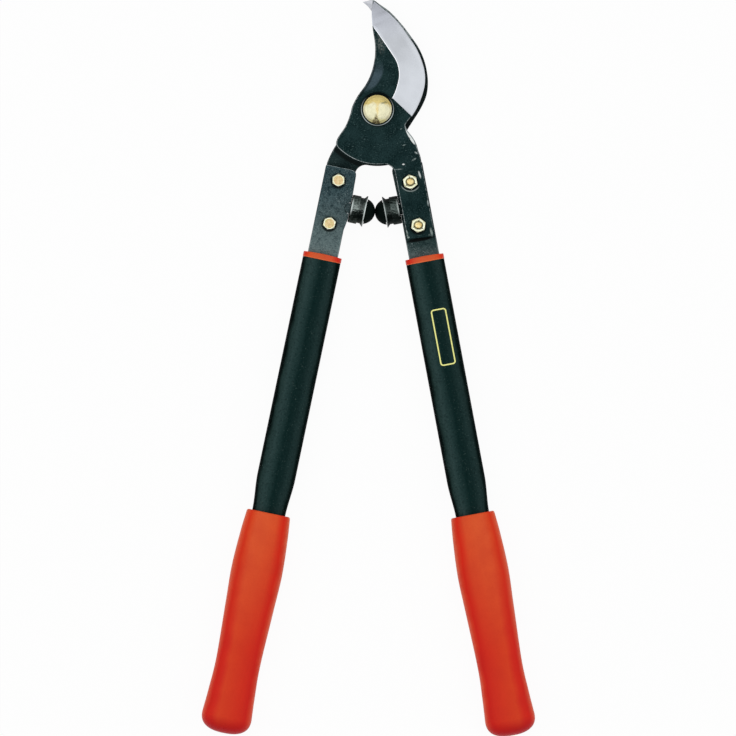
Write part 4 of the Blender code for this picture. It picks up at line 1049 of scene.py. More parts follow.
def cutting_blade_lines():
    """Left side, crease and right side of the blade, rung by rung, with the rungs of its marks."""
    fillet, heel_angle, along = crotch(RIGHT)
    heel = arc((0, 0), HEEL_RADII[RIGHT], heel_angle, BLADE_HEEL_END, 80)
    spine = smooth_through([heel[-1], *scaled(LOWER_SPINE_SHAPE[::-1], HEEL_RADII[RIGHT]),
                            polar(LOWER_HUB_RADIUS, HUB_POINTS[1]), polar(HUB_RADIUS, HUB_POINTS[0]),
                            *scaled(SPINE_SHAPE[::-1], BLADE_LENGTH)], 16)
    left = np.vstack([tang_end(RIGHT, False), fillet, heel[1:], spine[1:]])
    edge = smooth_through(scaled(EDGE_SHAPE, BLADE_LENGTH), 16)
    on_neck = scaled(NECK_SHAPE, HEEL_RADII[RIGHT])
    tang_top = on_handle(RIGHT, TANG_OUTER, HEEL_RADII[RIGHT] + TANG_RUN_IN)
    neck = smooth_through([edge[0], *on_neck, tang_top], 12)
    right = np.vstack([tang_end(RIGHT, True), neck[::-1], edge[1:]])
    grind = smooth_through(scaled(GRIND_SHAPE, BLADE_LENGTH), 24)

    apart = np.hypot(*(grind[:, None] - spine[None]).transpose(2, 0, 1))
    meets, on_spine = np.unravel_index(np.argmin(apart), apart.shape)
    share = run_length(grind)[meets] / run_length(grind)[-1]
    edge_run = run_length(edge)
    edge_mark = edge[np.searchsorted(edge_run, share * edge_run[-1])]

    counts = BLADE_COUNTS
    skeleton = [on_handle(RIGHT, (TANG_OUTER - TANG_INNER[RIGHT]) / 2, TANG_LENGTH),
                on_handle(RIGHT, 0.0005, TANG_FOOT), on_handle(RIGHT, 0.0005, along),
                (0.021, -0.034), (0.006, -0.024), (-0.004, -0.010), grind[0]]
    left_side = stations(left, [on_handle(RIGHT, -TANG_INNER[RIGHT], TANG_FOOT), fillet[0],
                                fillet[-1], polar(HEEL_RADII[RIGHT], math.radians(262)), heel[-1],
                                polar(LOWER_HUB_RADIUS, math.radians(168)), spine[on_spine]], counts)
    right_side = stations(right, [on_handle(RIGHT, TANG_OUTER, TANG_FOOT), on_handle(RIGHT, TANG_OUTER, along),
                                  *on_neck[5::-2], edge[0], edge_mark], counts)
    start, meet = sum(counts[:6]), sum(counts[:7])
    crease = np.vstack([steps_between(skeleton, counts), stations(grind[:meets + 1], [], counts[6:])[:-1],
                        left_side[meet:]])
    virtual = stations(grind[meets:], [], counts[7:])
    reach = np.hypot(*(right_side[meet:] - virtual).T)
    rise = np.hypot(*(right_side[meet:] - left_side[meet:]).T) / reach
    return left_side, crease, right_side, start, meet, rise


# %% Cutting blade surface
MICRO_BEVEL = 0.0013
MICRO_RISE = 0.00012
KEEN_ROUND = 0.00004
TIP_SHARE = 0.25


def cutting_blade():
    """The ladder with the bevel's heights: full at the crease, down to the land at the edge."""
    left, crease, right, start, meet, rise = cutting_blade_lines()
    order = np.concatenate([np.arange(start + 1), np.arange(start, len(left))])
    rungs = np.arange(len(order))
    ground = rungs > start
    left, crease, right = left[order], crease[order], right[order]
    top = np.full((len(order), 3), FRONT_TOP)
    top[ground, 2] = FRONT_BASE + EDGE_LAND
    near_tip = FRONT_BASE + EDGE_LAND + (FRONT_TOP - FRONT_BASE - EDGE_LAND) * rise
    top[meet + 1:, :2] = near_tip[:, None]
    bottom = np.full_like(top, FRONT_BASE)
    rounds = np.full((len(order), 2), BROKEN_EDGE)
    rounds[ground, 1] = KEEN_ROUND
    rounds[meet + 1:, 0] = np.minimum(BROKEN_EDGE, TIP_SHARE * (near_tip - FRONT_BASE))
    rounds[meet + 1:, 0] *= np.linspace(1, 0.2, len(order) - meet - 1)
    grid, part = plate(left, crease, right, top, bottom, rounds)

    bevel = grid[:, part["top_right"]]
    width = np.linalg.norm(right - crease, axis=1)
    share = 1 - MICRO_BEVEL / np.maximum(width, 2 * MICRO_BEVEL)
    second = bevel.shape[1] - 2
    calm = ramp(-rungs, 5 - meet, 25)
    for k in (second - 1, second):
        at = share if k == second else share - 0.02
        ground_line = crease * (1 - at[:, None]) + right * at[:, None]
        level = top[:, 1] * (1 - at) + top[:, 2] * at
        level = level + MICRO_RISE * (k == second) * ramp(width, 0.009, 0.006) * calm
        bevel[ground, k, :2] = ground_line[ground]
        bevel[ground, k, 2] = level[ground]

    face = grid[:, part["top_left"]]
    off = np.hypot(face[..., 0] - SCOOP_CENTRE[0], face[..., 1] - SCOOP_CENTRE[1]) / SCOOP_RADIUS
    face[..., 2] -= SCOOP_DEPTH * np.clip(1 - off ** 2, 0, 1)

    slots = np.zeros((len(grid) - 1, grid.shape[1]), int)
    slots[start + 1:, part["top_right"].start - 1:part["top_right"].stop - 1] = 1
    # The strip beside the crease takes the painted highlight of the bevel's upper line.
    slots[start + 1:, part["top_left"].stop - 2] = 2
    slots[start + 1:, part["top_right"].stop - 1:part["right_foot"].stop - 1] = 1
    slots[meet + 1:, :part["top_right"].start] = 1
    # Wear and painted light on the rims: painted shade on the tang's end, rubbing with a painted highlight
    # along the heel, a painted highlight on the neck's right side, and painted shade in a margin beside the
    # spine.
    along = run_length(right) - run_length(right)[start]
    neck, heel = bump(along, -0.020, 0.010) * ~ground, bump(rungs, HEEL_ROW, 14.0)
    end = ramp(rungs, 10, 20)
    wear = rim_wear_and_light(grid, part, -0.8 + (1.6 + 0.4 * heel) * end, (-0.8 + (1.4 + 0.9 * neck) * end) * ~ground)
    wear[ground, part["top_right"].start:part["right_foot"].start] = 0
    rub_and_light_right_side(wear, part, 2.4 * bump(along, -0.016, 0.0085, 4) * ~ground)
    margin = wear[:, part["top_left"]]
    margin[:, 1:3] -= 0.6 * ((face[:, 1:3, 1] > 0.010) & (face[:, 1:3, 1] < 0.036))
    lift = ramp(rungs, meet - 22, 30)[:, None]
    mesh = skin("cutting_blade_forging", grid, slots, {"wear": wear, "lift": lift})
    return cut(mesh, hole((0, 0), PIVOT_BORE), *bolt_holes(RIGHT))


dress("cutting_blade", cutting_blade(), (FRONT_FORGED, GROUND, BEVEL_LINE_HIGHLIGHT))

# %% [markdown]
# ## Hook blade
# The hook passes behind the cutting blade. Its left side runs up the tang and the back,
# over the hub and along the shearing edge to the beak, and its right side round the heel
# and up the outer side. The bevel is on its underside, so the face that the blade slides
# past is flat.

# %% Hook blade outline
HOOK_OUTER_SHAPE = ((-0.148, 0.989), (-0.095, 1.002), (-0.050, 1.011), (0.004, 0.975), (0.107, 0.902),
                    (0.212, 0.792), (0.299, 0.682), (0.375, 0.572), (0.426, 0.461), (0.454, 0.351),
                    (0.464, 0.240), (0.450, 0.129), (0.403, 0.017), (0.336, -0.094), (0.289, -0.169))
HOOK_HEEL_SHAPE = ((0.518, -0.388), (0.534, -0.456), (0.600, -0.541), (0.651, -0.623))
HOOK_INNER_SHAPE = ((0.166, 0.222), (0.212, 0.292), (0.232, 0.385), (0.216, 0.490), (0.165, 0.610),
                    (0.092, 0.725), (0.006, 0.832), (-0.065, 0.909), (-0.104, 0.955), (-0.148, 0.989))
HOOK_BACK_SHAPE = ((-0.830, -0.832), (-0.776, -0.724), (-0.708, -0.610), (-0.613, -0.476),
                   (-0.479, -0.294), (-0.417, -0.118))
HOOK_HEEL_END = math.radians(313.5)
HOOK_HUB_START = math.radians(190.0)
HOOK_HUB_END = math.radians(62.0)
HOOK_BEVEL_WIDTH = 0.0070
HOOK_COUNTS = (26, 30, 24, 24, 30, 24, 120)
SHEAR_ROUND = 0.00008
BEAK_RUNGS = 24
BEAK_GRIND_START = 111


def hook_blade():
    """The ladder for the hook, with its bevel's fall on the underside."""
    heel_radius = HEEL_RADII[LEFT]
    fillet, heel_angle, along = crotch(LEFT)
    on_outer = scaled(HOOK_OUTER_SHAPE, BLADE_LENGTH)
    outer = smooth_through(on_outer + scaled(HOOK_HEEL_SHAPE, heel_radius), 16)
    heel = arc((0, 0), heel_radius, heel_angle, HOOK_HEEL_END, 80)
    tang_top = on_handle(LEFT, TANG_OUTER, heel_radius + TANG_RUN_IN)
    back = smooth_through([tang_top, *scaled(HOOK_BACK_SHAPE, heel_radius)], 12)
    hub = arc((0, 0), HUB_RADIUS, HOOK_HUB_START, HOOK_HUB_END, 90)
    shear = smooth_through([hub[-1], *scaled(HOOK_INNER_SHAPE, BLADE_LENGTH)], 16)
    left = np.vstack([tang_end(LEFT, True), back, hub, shear[1:]])
    right = np.vstack([tang_end(LEFT, False), fillet, heel[1:], outer[::-1][1:]])

    counts = HOOK_COUNTS
    middle = (TANG_OUTER - TANG_INNER[LEFT]) / 2
    left_side = stations(left, [on_handle(LEFT, TANG_OUTER, TANG_FOOT), on_handle(LEFT, TANG_OUTER, along),
                                back[-1], hub[0], polar(HUB_RADIUS, math.radians(120)), shear[4]], counts)
    right_side = stations(right, [on_handle(LEFT, -TANG_INNER[LEFT], TANG_FOOT), fillet[0], fillet[-1],
                                  polar(heel_radius, math.radians(285)), heel[-1], on_outer[12]], counts)
    start = sum(counts[:6])
    into = inward_normals(left_side, False)
    width = np.linalg.norm(right_side - left_side, axis=1)
    reach = np.minimum(HOOK_BEVEL_WIDTH, 0.6 * width)
    ground = left_side[start:] + into[start:] * reach[start:, None]
    skeleton = [on_handle(LEFT, middle, TANG_LENGTH), on_handle(LEFT, 0, TANG_FOOT),
                on_handle(LEFT, 0, along), (-0.016, -0.034), (-0.004, -0.021), (0.008, -0.009), ground[0]]
    crease = np.vstack([steps_between(skeleton, counts), ground])
    crease[-1] = left_side[-1]
    rungs = np.arange(len(crease))
    top = np.full((len(left_side), 3), BACK_TOP)
    bottom = np.full_like(top, BACK_BASE)
    fall = (BACK_TOP - BACK_BASE - HOOK_LAND) / HOOK_BEVEL_WIDTH
    for column, off in enumerate((0 * width, reach, width)):
        bottom[:, column] += np.maximum(HOOK_BEVEL_WIDTH - off, 0) * fall * ramp(rungs, start - 10, 10)
    rounds = np.full((len(left_side), 2), BROKEN_EDGE)
    rounds[start:, 0] = SHEAR_ROUND
    rounds[-BEAK_RUNGS:, 1] *= np.linspace(1, 0.3, BEAK_RUNGS)
    grid, part = plate(left_side, crease, right_side, top, bottom, rounds, counts=(16, 12, 6))

    slots = np.zeros((len(grid) - 1, grid.shape[1]), int)
    slots[start:, :part["top_left"].stop - 1] = 1
    slots[start:, part["left_rim"]] = 1
    slots[start + BEAK_GRIND_START:, :part["right_foot"].start] = 1
    slots[start:, part["under_left"].start - 1:part["left_foot"].stop] = 1
    # Wear and painted light on the rims: rubbing with a painted highlight towards the beak, and painted shade
    # on the top face beside the cutting blade's edge.
    towards_beak = ramp(rungs, start + 44, 22)
    wear = rim_wear_and_light(grid, part, 0.5, 0.45 + 0.9 * towards_beak)
    strip = ramp(rungs, sum(counts[:5]), 10) * (1 - towards_beak)
    wear[:, part["top_right"]] = -0.8 * strip[:, None]
    wear[:, part["top_right"].stop - 4:part["top_right"].stop] = (0.62 * towards_beak - 0.8 * strip)[:, None]
    rub_and_light_right_side(wear, part, 1.75 * towards_beak)
    mesh = skin("hook_blade_forging", grid, slots, {"wear": wear})
    return cut(mesh, hole((0, 0), PIVOT_BORE), *bolt_holes(LEFT))


dress("hook_blade", hook_blade(), (BACK_FORGED, SLID))

# %% [markdown]
# ## Straps
# Each strap is a flat bar with a lobe that carries the bumper. It is laid out in its
# handle's own frame: out from the handle's line, and along it from the pivot. A round
# notch in the lobe takes the head of the bumper's stud.

# %% Straps
STRAP_TOPS = {LEFT: 0.0525, RIGHT: 0.0484}
STRAP_HALF = 0.0125
STRAP_DEPTH = 0.0050
STRAP_SHOULDER = 0.0007
STRAP_CORNER = 0.0016
STRAP_INNER_CORNER = 0.0050
STRAP_FOOT = 0.1735
STRAP_EDGE = 0.0005
STRAP_COUNTS = (20, 60, 60, 30, 20)
BUMPER_STATION = 0.0837
LOBE_HALF, LOBE_FOOT = 0.0092, 0.0184
LOBE_FILLET, LOBE_LOWER_FILLET = 0.0070, 0.0023
STUD_HEAD = 0.0045
NOTCH_GAP = 0.00008
GAP = 0.0003
SEAM = 0.00006
LEVELS = {LEFT: MID + (GAP + STRAP_DEPTH) / 2, RIGHT: MID - (GAP + STRAP_DEPTH) / 2}
BUMPER_MEETING_X = -0.00115
CUP_LENGTH = 0.0123
NOSE_MOUTH = 0.0104
NOSE_LENGTH = 0.0081
NOSE_BALL = (NOSE_MOUTH ** 2 + NOSE_LENGTH ** 2) / (2 * NOSE_LENGTH)


def bumper_seat(side):
    """How far in from the handle's line a cup sits, so that the two ball noses just meet."""
    climb = LEVELS[LEFT] - LEVELS[RIGHT]
    half = math.sqrt((2 * NOSE_BALL + GAP) ** 2 - climb ** 2) / 2
    centre_x = BUMPER_MEETING_X + side * half
    reach = (side * centre_x - BUMPER_STATION * math.sin(SPLAY)) / math.cos(SPLAY)
    return OFFSETS[side] - reach - CUP_LENGTH + NOSE_BALL - NOSE_LENGTH


def strap(side):
    """The bar's ladder, whose rungs run across it from foot to head."""
    seat = GAP - bumper_seat(side)
    top = STRAP_TOPS[side]
    outer = rounded([(0, STRAP_FOOT, 0), (STRAP_HALF, STRAP_FOOT, STRAP_CORNER),
                     (STRAP_HALF, top, STRAP_CORNER), (0, top, 0)], 14)
    inner = rounded([(0, STRAP_FOOT, 0), (-STRAP_HALF, STRAP_FOOT, STRAP_CORNER),
                     (-STRAP_HALF, BUMPER_STATION + LOBE_FOOT, LOBE_FILLET),
                     (seat, BUMPER_STATION + LOBE_HALF, LOBE_LOWER_FILLET),
                     (seat, BUMPER_STATION - LOBE_HALF, LOBE_FILLET),
                     (-STRAP_HALF - STRAP_SHOULDER, top, STRAP_INNER_CORNER), (0, top, 0)], 14)
    marks = (STRAP_FOOT - 0.004, 0.104, 0.0725, top + 0.004)
    down = np.append(steps_between((STRAP_FOOT, *marks, top), STRAP_COUNTS), top)
    lines = [stations(line, [(sign * STRAP_HALF, t) for t in marks], STRAP_COUNTS)
             for sign, line in ((1, outer), (-1, inner))] + [np.column_stack([0 * down, down])]
    outer, inner, crease = (on_handle(side, *line.T) for line in lines)
    left, right = (outer, inner) if side == LEFT else (inner, outer)
    top_face, underside = (np.full((len(down), 3), LEVELS[side] + z * STRAP_DEPTH / 2) for z in (1, -1))
    rounds = np.full((len(down), 2), STRAP_EDGE)
    grid, part = plate(left, crease, right, top_face, underside, rounds, (10, 10, 8))
    # Wear and painted light on the rims: brighter further from the pivot, with a painted highlight along the
    # top edge, and painted shade on the outer half and sides.
    worn_and_painted_light = 0.30 + 0.55 * ramp(down, 0.095, 0.03) + 0.6 * (down < top + 0.0030)
    mesh = skin(f"{NAMES[side]}_strap_bar", grid, None, {"wear": rim_wear_and_light(grid, part, worn_and_painted_light, worn_and_painted_light)})
    notch = hole(tuple(on_handle(side, seat, BUMPER_STATION)), STUD_HEAD + NOTCH_GAP)
    return cut(mesh, *bolt_holes(side), notch)


for side in (LEFT, RIGHT):
    dress(f"{NAMES[side]}_strap", strap(side), (STRAPS[side],))


# %% [markdown]
# ## Turned pieces
# The bolts, washers, studs, cups and noses are lines of (radius, height) points swung round
# an axis. A frame puts that axis in place: straight up for the pivot, along the handle's
# inward normal for a bumper.

# %% Turning
def moved(grid, placing):
    """A grid of points taken from a frame's own coordinates to the object's."""
    matrix = np.array(placing)
    return grid @ matrix[:3, :3].T + matrix[:3, 3]


def turned(profile, columns, placing=Matrix()):
    """Each point of the line becomes a circle about the frame's Z axis."""
    profile = np.asarray(profile, dtype=float)
    a = full_turn(columns)
    rings = [profile[:, :1] * np.cos(a), profile[:, :1] * np.sin(a),
             np.broadcast_to(profile[:, 1:], (len(profile), columns))]
    return moved(np.stack(rings, -1), placing)


def bumper_frame(side):
    """Z runs from the strap's edge towards the other bumper."""
    seat = Matrix.Translation((-side * bumper_seat(side), -BUMPER_STATION, LEVELS[side]))
    return handle_frame(side) @ seat @ Matrix.Rotation(-side * math.pi / 2, 4, "Y")


# %% Pivot
PIVOT_RIM = 0.0118
PIVOT_SHANK = 0.0060
HEAD_BASE = heights("pivot_washer_front")[1] + GAP
HEAD_EDGE = HEAD_BASE + 0.0014
HEAD_DOME = 0.0034
END_CHAMFER = 0.0009
# A centre mark and a turned groove in the head: depth, radius and half width.
HEAD_MARKS = ((0.00012, 0.0, 0.0004), (0.00010, 0.0108, 0.00018))
PIVOT_COLUMNS = 128
WASHER_RADIUS = 0.0140
# How bright the painted highlight on the front washer's rounded edge is, by the height round it from foot to
# head; on the back washer's zinc the same mark is painted shade.
RING_LIGHT = ((-1.0, -0.72, -0.35, 0.1, 0.45, 0.75), (0.50, 0.95, 0.85, 0.55, 0.30, 0.0))


def pivot_bolt():
    """A domed head with a fine edge round, a turned centre mark and a chamfered end."""
    a = np.linspace(0.02, 0.97 * math.pi / 2, 60)
    crown = np.column_stack([PIVOT_RIM * np.sin(a), HEAD_EDGE + HEAD_DOME * np.cos(a)])
    for depth, radius, width in HEAD_MARKS:
        crown[:, 1] -= depth * bump(crown[:, 0], radius, width)
    shank = PIVOT_SHANK
    lower = rounded([(*crown[-1], 0), (PIVOT_RIM, HEAD_EDGE - 0.0002, 0.0004), (PIVOT_RIM, HEAD_BASE, 0.0003),
                     (shank, HEAD_BASE, 0.0002), (shank, END_CHAMFER, 0.0002),
                     (shank - END_CHAMFER, 0, 0.0002), (0, 0, 0)])
    return skin("pivot_bolt_turned", turned(np.vstack([[(0, crown[0, 1])], crown, lower[1:]]), PIVOT_COLUMNS))


dress("pivot_bolt", pivot_bolt(), (BRASS,))

for node_name, finish in (("pivot_washer_front", WASHER), ("pivot_washer_back", ZINC)):
    low, high = heights(node_name)
    rings = [(WASHER_RADIUS - inset, high, 0) for inset in (0.00045, 0.00065, 0.0011, 0.0013)]
    line = rounded([(PIVOT_BORE, low, 0), (WASHER_RADIUS, low, 0.0003), (WASHER_RADIUS, high, 0.0003), *rings,
                    (PIVOT_BORE, high, 0.0002), (PIVOT_BORE, (low + high) / 2, 0)])
    line = np.vstack([line, line[:1]])
    highlit_ring = (abs(line[:, 0] - 0.013125) < 0.00026) & (line[:, 1] > high - 0.0002)
    worn_and_painted_light = highlit_ring[:, None] * np.interp(np.sin(full_turn(PIVOT_COLUMNS)), *RING_LIGHT)
    dress(node_name, skin(f"{node_name}_ring", turned(line, PIVOT_COLUMNS), None, {"wear": worn_and_painted_light}), (finish,))


# %% [markdown]
# ## Hexagons
# A nut's side is a hexagon, and its ends are cones that cut the corners off. Along each
# direction the cone meets the flat at its own height, which gives the curved lines that
# every real nut has.

# %% Hexagons
HEX_COLUMNS = 120
HEX_CONE = math.radians(28)
HEX_FACE = 0.95
SHARP_ANGLE = 20
NUT_FLATS = 0.0108
NUT_BORE = 0.0031
PIVOT_NUT_FLATS = 0.0190
STAKE_DEPTH = 0.00035
STAKE_LENGTH = 0.0013
HEAD_FLATS = 0.0094
HEAD_HEIGHT = 0.0040
SHANK_RADIUS = 0.0030
THREAD_PITCH = 0.0010
THREAD_DEPTH = 0.00028
THREAD_START = 0.0060
THREAD_STOP = 0.0012
TIP_DOME = 0.0006
COUNTERSINK = 0.0003
BORE_CHAMFER = 0.0004
LEANS = {"right_nut_upper": SPLAY, "right_nut_lower": math.radians(-7.0),
         "left_bolt_lower": math.radians(-16.0)}


def hex_ring(radius, height):
    """One ring of points, each as far from the axis and as high as given."""
    a = full_turn(HEX_COLUMNS)
    radius = np.broadcast_to(radius, a.shape)
    return np.stack([radius * np.cos(a), radius * np.sin(a), np.broadcast_to(height, a.shape)], -1)


def hex_sides(flats, high, low_coned):
    """Rings of a hexagon down to height 0 with its top coned, and its foot too if asked."""
    across = flats / 2 / np.cos((full_turn(HEX_COLUMNS) + math.pi / 6) % (math.pi / 3) - math.pi / 6)
    across = np.minimum(across, flats / math.sqrt(3) * 0.992)
    disc = flats / 2 * HEX_FACE
    fall = (across - disc) * math.tan(HEX_CONE)
    cone = [(disc, 0), ((disc + across) / 2, fall / 2), (across, fall)]
    foot = cone[::-1] if low_coned else [(across, 0), (disc, 0)]
    return [hex_ring(r, high - drop) for r, drop in cone] + [hex_ring(r, rise) for r, rise in foot]


def nut(flats, high, bore, stakes=0):
    """A hexagon nut with a countersunk bore and, on a locking nut, stake marks round it, with painted shade in
    the dents and in a ring round the bore.
    """
    rows, a, sink = hex_sides(flats, high, True), full_turn(HEX_COLUMNS), bore + COUNTERSINK
    face, marks = [], []
    for radius in np.linspace(sink, flats / 2 * HEX_FACE, 9)[:-1]:
        dent, worn_and_painted_light = 0.0, 0 * a
        if stakes:
            off = np.angle(np.exp(1j * (a * stakes - math.pi / 2 * stakes))) / stakes
            width = np.clip(1 - (radius - sink) / STAKE_LENGTH, 0, 1) * 0.20 + 1e-6
            dent = STAKE_DEPTH * np.clip(1 - np.abs(off) / width, 0, 1) * (radius < sink + STAKE_LENGTH)
            # Painted shade round the bore, heavier to two sides.
            bore_shade = 0.95 * (radius < sink + 0.0005) * (0.4 + 0.55 * np.abs(np.cos(a)))
            worn_and_painted_light = np.maximum(np.clip(dent / STAKE_DEPTH * 2.5, 0, 1), bore_shade)
        face.append(hex_ring(radius, high - dent))
        marks.append(worn_and_painted_light)
    foot = [hex_ring(sink, 0.0)]
    inner = [hex_ring(bore, BORE_CHAMFER), hex_ring(bore, high - BORE_CHAMFER)]
    blank = [0 * a]
    return foot + inner + face + rows + foot, {"wear": np.array(blank * 3 + marks + blank * (len(rows) + 1))}


def bolt(end):
    """Head above height 0 and shank down to the end, with a thread and a domed tip, with painted shade round
    the tip's rim, heavier to one side.
    """
    rows = [hex_ring(r, HEAD_HEIGHT - 0.00012 * (r < 0.0002))
            for r in np.linspace(0.0, HEAD_FLATS / 2 * HEX_FACE, 9)[:-1]]
    rows += hex_sides(HEAD_FLATS, HEAD_HEIGHT, False)
    rows += [hex_ring(SHANK_RADIUS, 0.0), hex_ring(SHANK_RADIUS, 0.0002 - THREAD_START)]
    levels = np.arange(-THREAD_START, end + THREAD_STOP, -THREAD_PITCH / 6)
    wave = SHANK_RADIUS - THREAD_DEPTH * (0.5 + 0.5 * np.cos(levels / THREAD_PITCH * 2 * math.pi))
    rows += [hex_ring(r, level) for r, level in zip(wave, levels)]
    angles = np.linspace(math.pi / 2, 0, 14)
    tip = [hex_ring((SHANK_RADIUS - 0.0001) * math.sin(b), end + TIP_DOME * (1 - math.cos(b))) for b in angles]
    rim = np.clip(np.sin(angles)[:, None] * 7.0 - 4.9, 0, 1)
    shade = 0.95 * rim * np.clip(0.25 + 0.75 * np.sin(full_turn(HEX_COLUMNS)), 0, 1)
    return rows + tip, {"wear": np.vstack([np.zeros((len(rows), HEX_COLUMNS)), shade])}


def dress_hexagon(node_name, rows, marks, place, base, up, finishes, slots=None):
    """Set the rows on their base, facing up or down and turned by the piece's own lean."""
    placing = Matrix.Translation((*place, base)) @ Matrix.Rotation(LEANS.get(node_name, 0.0), 4, "Z")
    if not up:
        placing = placing @ Matrix.Rotation(math.pi, 4, "X")
    mesh = skin(f"{node_name}_hex", moved(np.array(rows), placing), slots, marks, SHARP_ANGLE)
    dress(node_name, mesh, finishes)


for side in (LEFT, RIGHT):
    for row, place in zip(BOLT_STATIONS, on_bolts(side)):
        node_name, on_front = f"{NAMES[side]}_nut_{row}", side == RIGHT
        low, high = heights(node_name)
        dress_hexagon(node_name, *nut(NUT_FLATS, high - low, NUT_BORE, stakes=3), place,
                      low if on_front else high, on_front, (ZINC,))
        node_name, on_front = f"{NAMES[side]}_bolt_{row}", side == LEFT
        low, high = heights(node_name)
        rows, marks = bolt(HEAD_HEIGHT + low - high)
        slots = np.full((len(rows) - 1, HEX_COLUMNS), 2)
        # The head's top takes the peach zinc, and its coned chamfer and sides the paler zinc as a painted
        # highlight; the shank takes the gold.
        slots[:7], slots[7:12] = 0, 1
        dress_hexagon(node_name, rows, marks, place, high - HEAD_HEIGHT if on_front else low + HEAD_HEIGHT,
                      on_front, (HEAD, ZINC, GOLD), slots)

low, high = heights("pivot_nut")
dress_hexagon("pivot_nut", *nut(PIVOT_NUT_FLATS, high - low, PIVOT_BORE), (0, 0), low, True, (ZINC,))


# %% [markdown]
# ## Bumpers
# A stud with a flat head sits in the strap's notch. The cup is a turned shell with a flared
# lip, and the rubber nose is a ball end that fills it.

# %% Bumpers
CUP_RADIUS = 0.0115
CUP_BODY = 0.0068
NECK_RADIUS = 0.0105
LIP_RADIUS = 0.0128
LIP_FLARE = 0.0026
CUP_BORE = 0.0085
CUP_FLOOR = 0.0035
STUD_RADIUS = 0.0030
STUD_BORE = STUD_RADIUS + GAP
STUD_END = CUP_FLOOR + GAP + 0.0060
CUP_COLUMNS = 120
LIP_THICKNESS = 0.0005
STUD_RUNGS = ((1, 0.0021), (0.07, 0.0021), (0, 0.0018), (0, -0.0018), (0.07, -0.0021), (1, -0.0021))


def cup(side):
    """A turned shell, marked for a painted highlight on its lip and round the upper part of its foot, and for
    painted shade in its neck and at its foot's edge.
    """
    under_lip = CUP_LENGTH - LIP_THICKNESS
    flare = (0.75 * LIP_RADIUS + 0.25 * NECK_RADIUS, under_lip - 0.25 * (LIP_FLARE - LIP_THICKNESS))
    line = rounded([(CUP_BORE, CUP_LENGTH, 0), (LIP_RADIUS - 0.0001, CUP_LENGTH, 0.0003),
                    (LIP_RADIUS, under_lip, 0.0003), (*flare, 0),
                    (NECK_RADIUS, CUP_LENGTH - LIP_FLARE, 0.0007), (NECK_RADIUS, CUP_BODY + 0.0004, 0.0003),
                    (CUP_RADIUS, CUP_BODY, 0.0005), (CUP_RADIUS, 0.0028, 0), (CUP_RADIUS, 0.0021, 0),
                    (CUP_RADIUS, SEAM - GAP, 0.0017), (STUD_BORE, SEAM - GAP, 0),
                    (STUD_BORE, CUP_FLOOR, 0), (CUP_BORE, CUP_FLOOR, 0), (CUP_BORE, CUP_LENGTH, 0)], 10)
    radius, height = line.T
    outside = radius > CUP_BORE + 0.0008
    around = np.sin(full_turn(CUP_COLUMNS))[None]
    lip = outside & (height > flare[1] + 0.0001)
    foot = outside & (height > 0.0004) & (height < 0.0016)
    neck = outside & (height > CUP_BODY + 0.0005) & (radius < LIP_RADIUS - 0.0012)
    upper = ramp(around, -0.50, 0.40) * ramp(-around, -0.90, 0.30)
    wear = np.where(lip, 1.0, 0.0) - 0.55 * neck - 1.0 * (outside & (height <= 0.0004))
    wear = wear[:, None] + 0.9 * foot[:, None] * upper
    return skin(f"{NAMES[side]}_cup_shell", turned(line, CUP_COLUMNS, bumper_frame(side)), None,
                {"wear": wear, "around": around})


def nose(side):
    """A ball end, and a plug inside the cup with a pocket for the stud."""
    behind = NOSE_BALL - NOSE_LENGTH
    a = np.linspace(0, math.acos(behind / NOSE_BALL), 40)
    dome = np.column_stack([NOSE_BALL * np.sin(a), CUP_LENGTH - behind + NOSE_BALL * np.cos(a)])
    plug_radius, foot, pocket = CUP_BORE - GAP, CUP_FLOOR + GAP, STUD_END + GAP
    rest = [(NOSE_MOUTH, CUP_LENGTH + GAP), (plug_radius, CUP_LENGTH + GAP), (plug_radius, foot),
            (STUD_BORE, foot), (STUD_BORE, pocket), (0, pocket)]
    return skin(f"{NAMES[side]}_nose_rubber", turned(np.vstack([dome[:-1], rest]), 96, bumper_frame(side)))


def stud(side):
    """A flat head that lies in the notch, cut off at the strap's edge, and a shank into the nose."""
    a = np.linspace(-math.pi / 2, math.pi / 2, 33)
    outline = np.vstack([np.column_stack([-STUD_HEAD * np.cos(a), STUD_HEAD * np.sin(a)]),
                         np.column_stack([np.zeros(9), np.linspace(STUD_HEAD, -STUD_HEAD, 11)[1:-1]])])
    middle = np.array([-0.0015, 0.0])
    rows = []
    for share, level in STUD_RUNGS:
        flat = outline * (1 - share) + middle * share
        rows.append(np.column_stack([np.full(len(flat), level), flat[:, 1], flat[:, 0] - NOTCH_GAP]))
    head = skin(f"{NAMES[side]}_stud_head", moved(np.array(rows), bumper_frame(side)))
    line = rounded([(0, STUD_END, 0), (STUD_RADIUS, STUD_END, 0.0004), (STUD_RADIUS, -GAP, 0), (0, -GAP, 0)])
    shank = skin(f"{NAMES[side]}_stud_shank", turned(line, 48, bumper_frame(side)))
    shape = bmesh.new()
    shape.from_mesh(head)
    shape.from_mesh(shank)
    shape.to_mesh(head)
    shape.free()
    return head


for side in (LEFT, RIGHT):
    name = NAMES[side]
    dress(f"{name}_bumper_cup", cup(side), (CUPS[side],))
    dress(f"{name}_bumper_nose", nose(side), (NOSE,))
    dress(f"{name}_bumper_stud", stud(side), (STRAPS[side],))


# %% [markdown]
# ## Handles
# Tubes, collars and grips are skins over flattened ovals, |x/a|^n + |z/b|^n = 1, set along
# the handle's line. A larger n gives a squarer oval. A collar's oval bows towards the head
# in its middle, as on the real one.

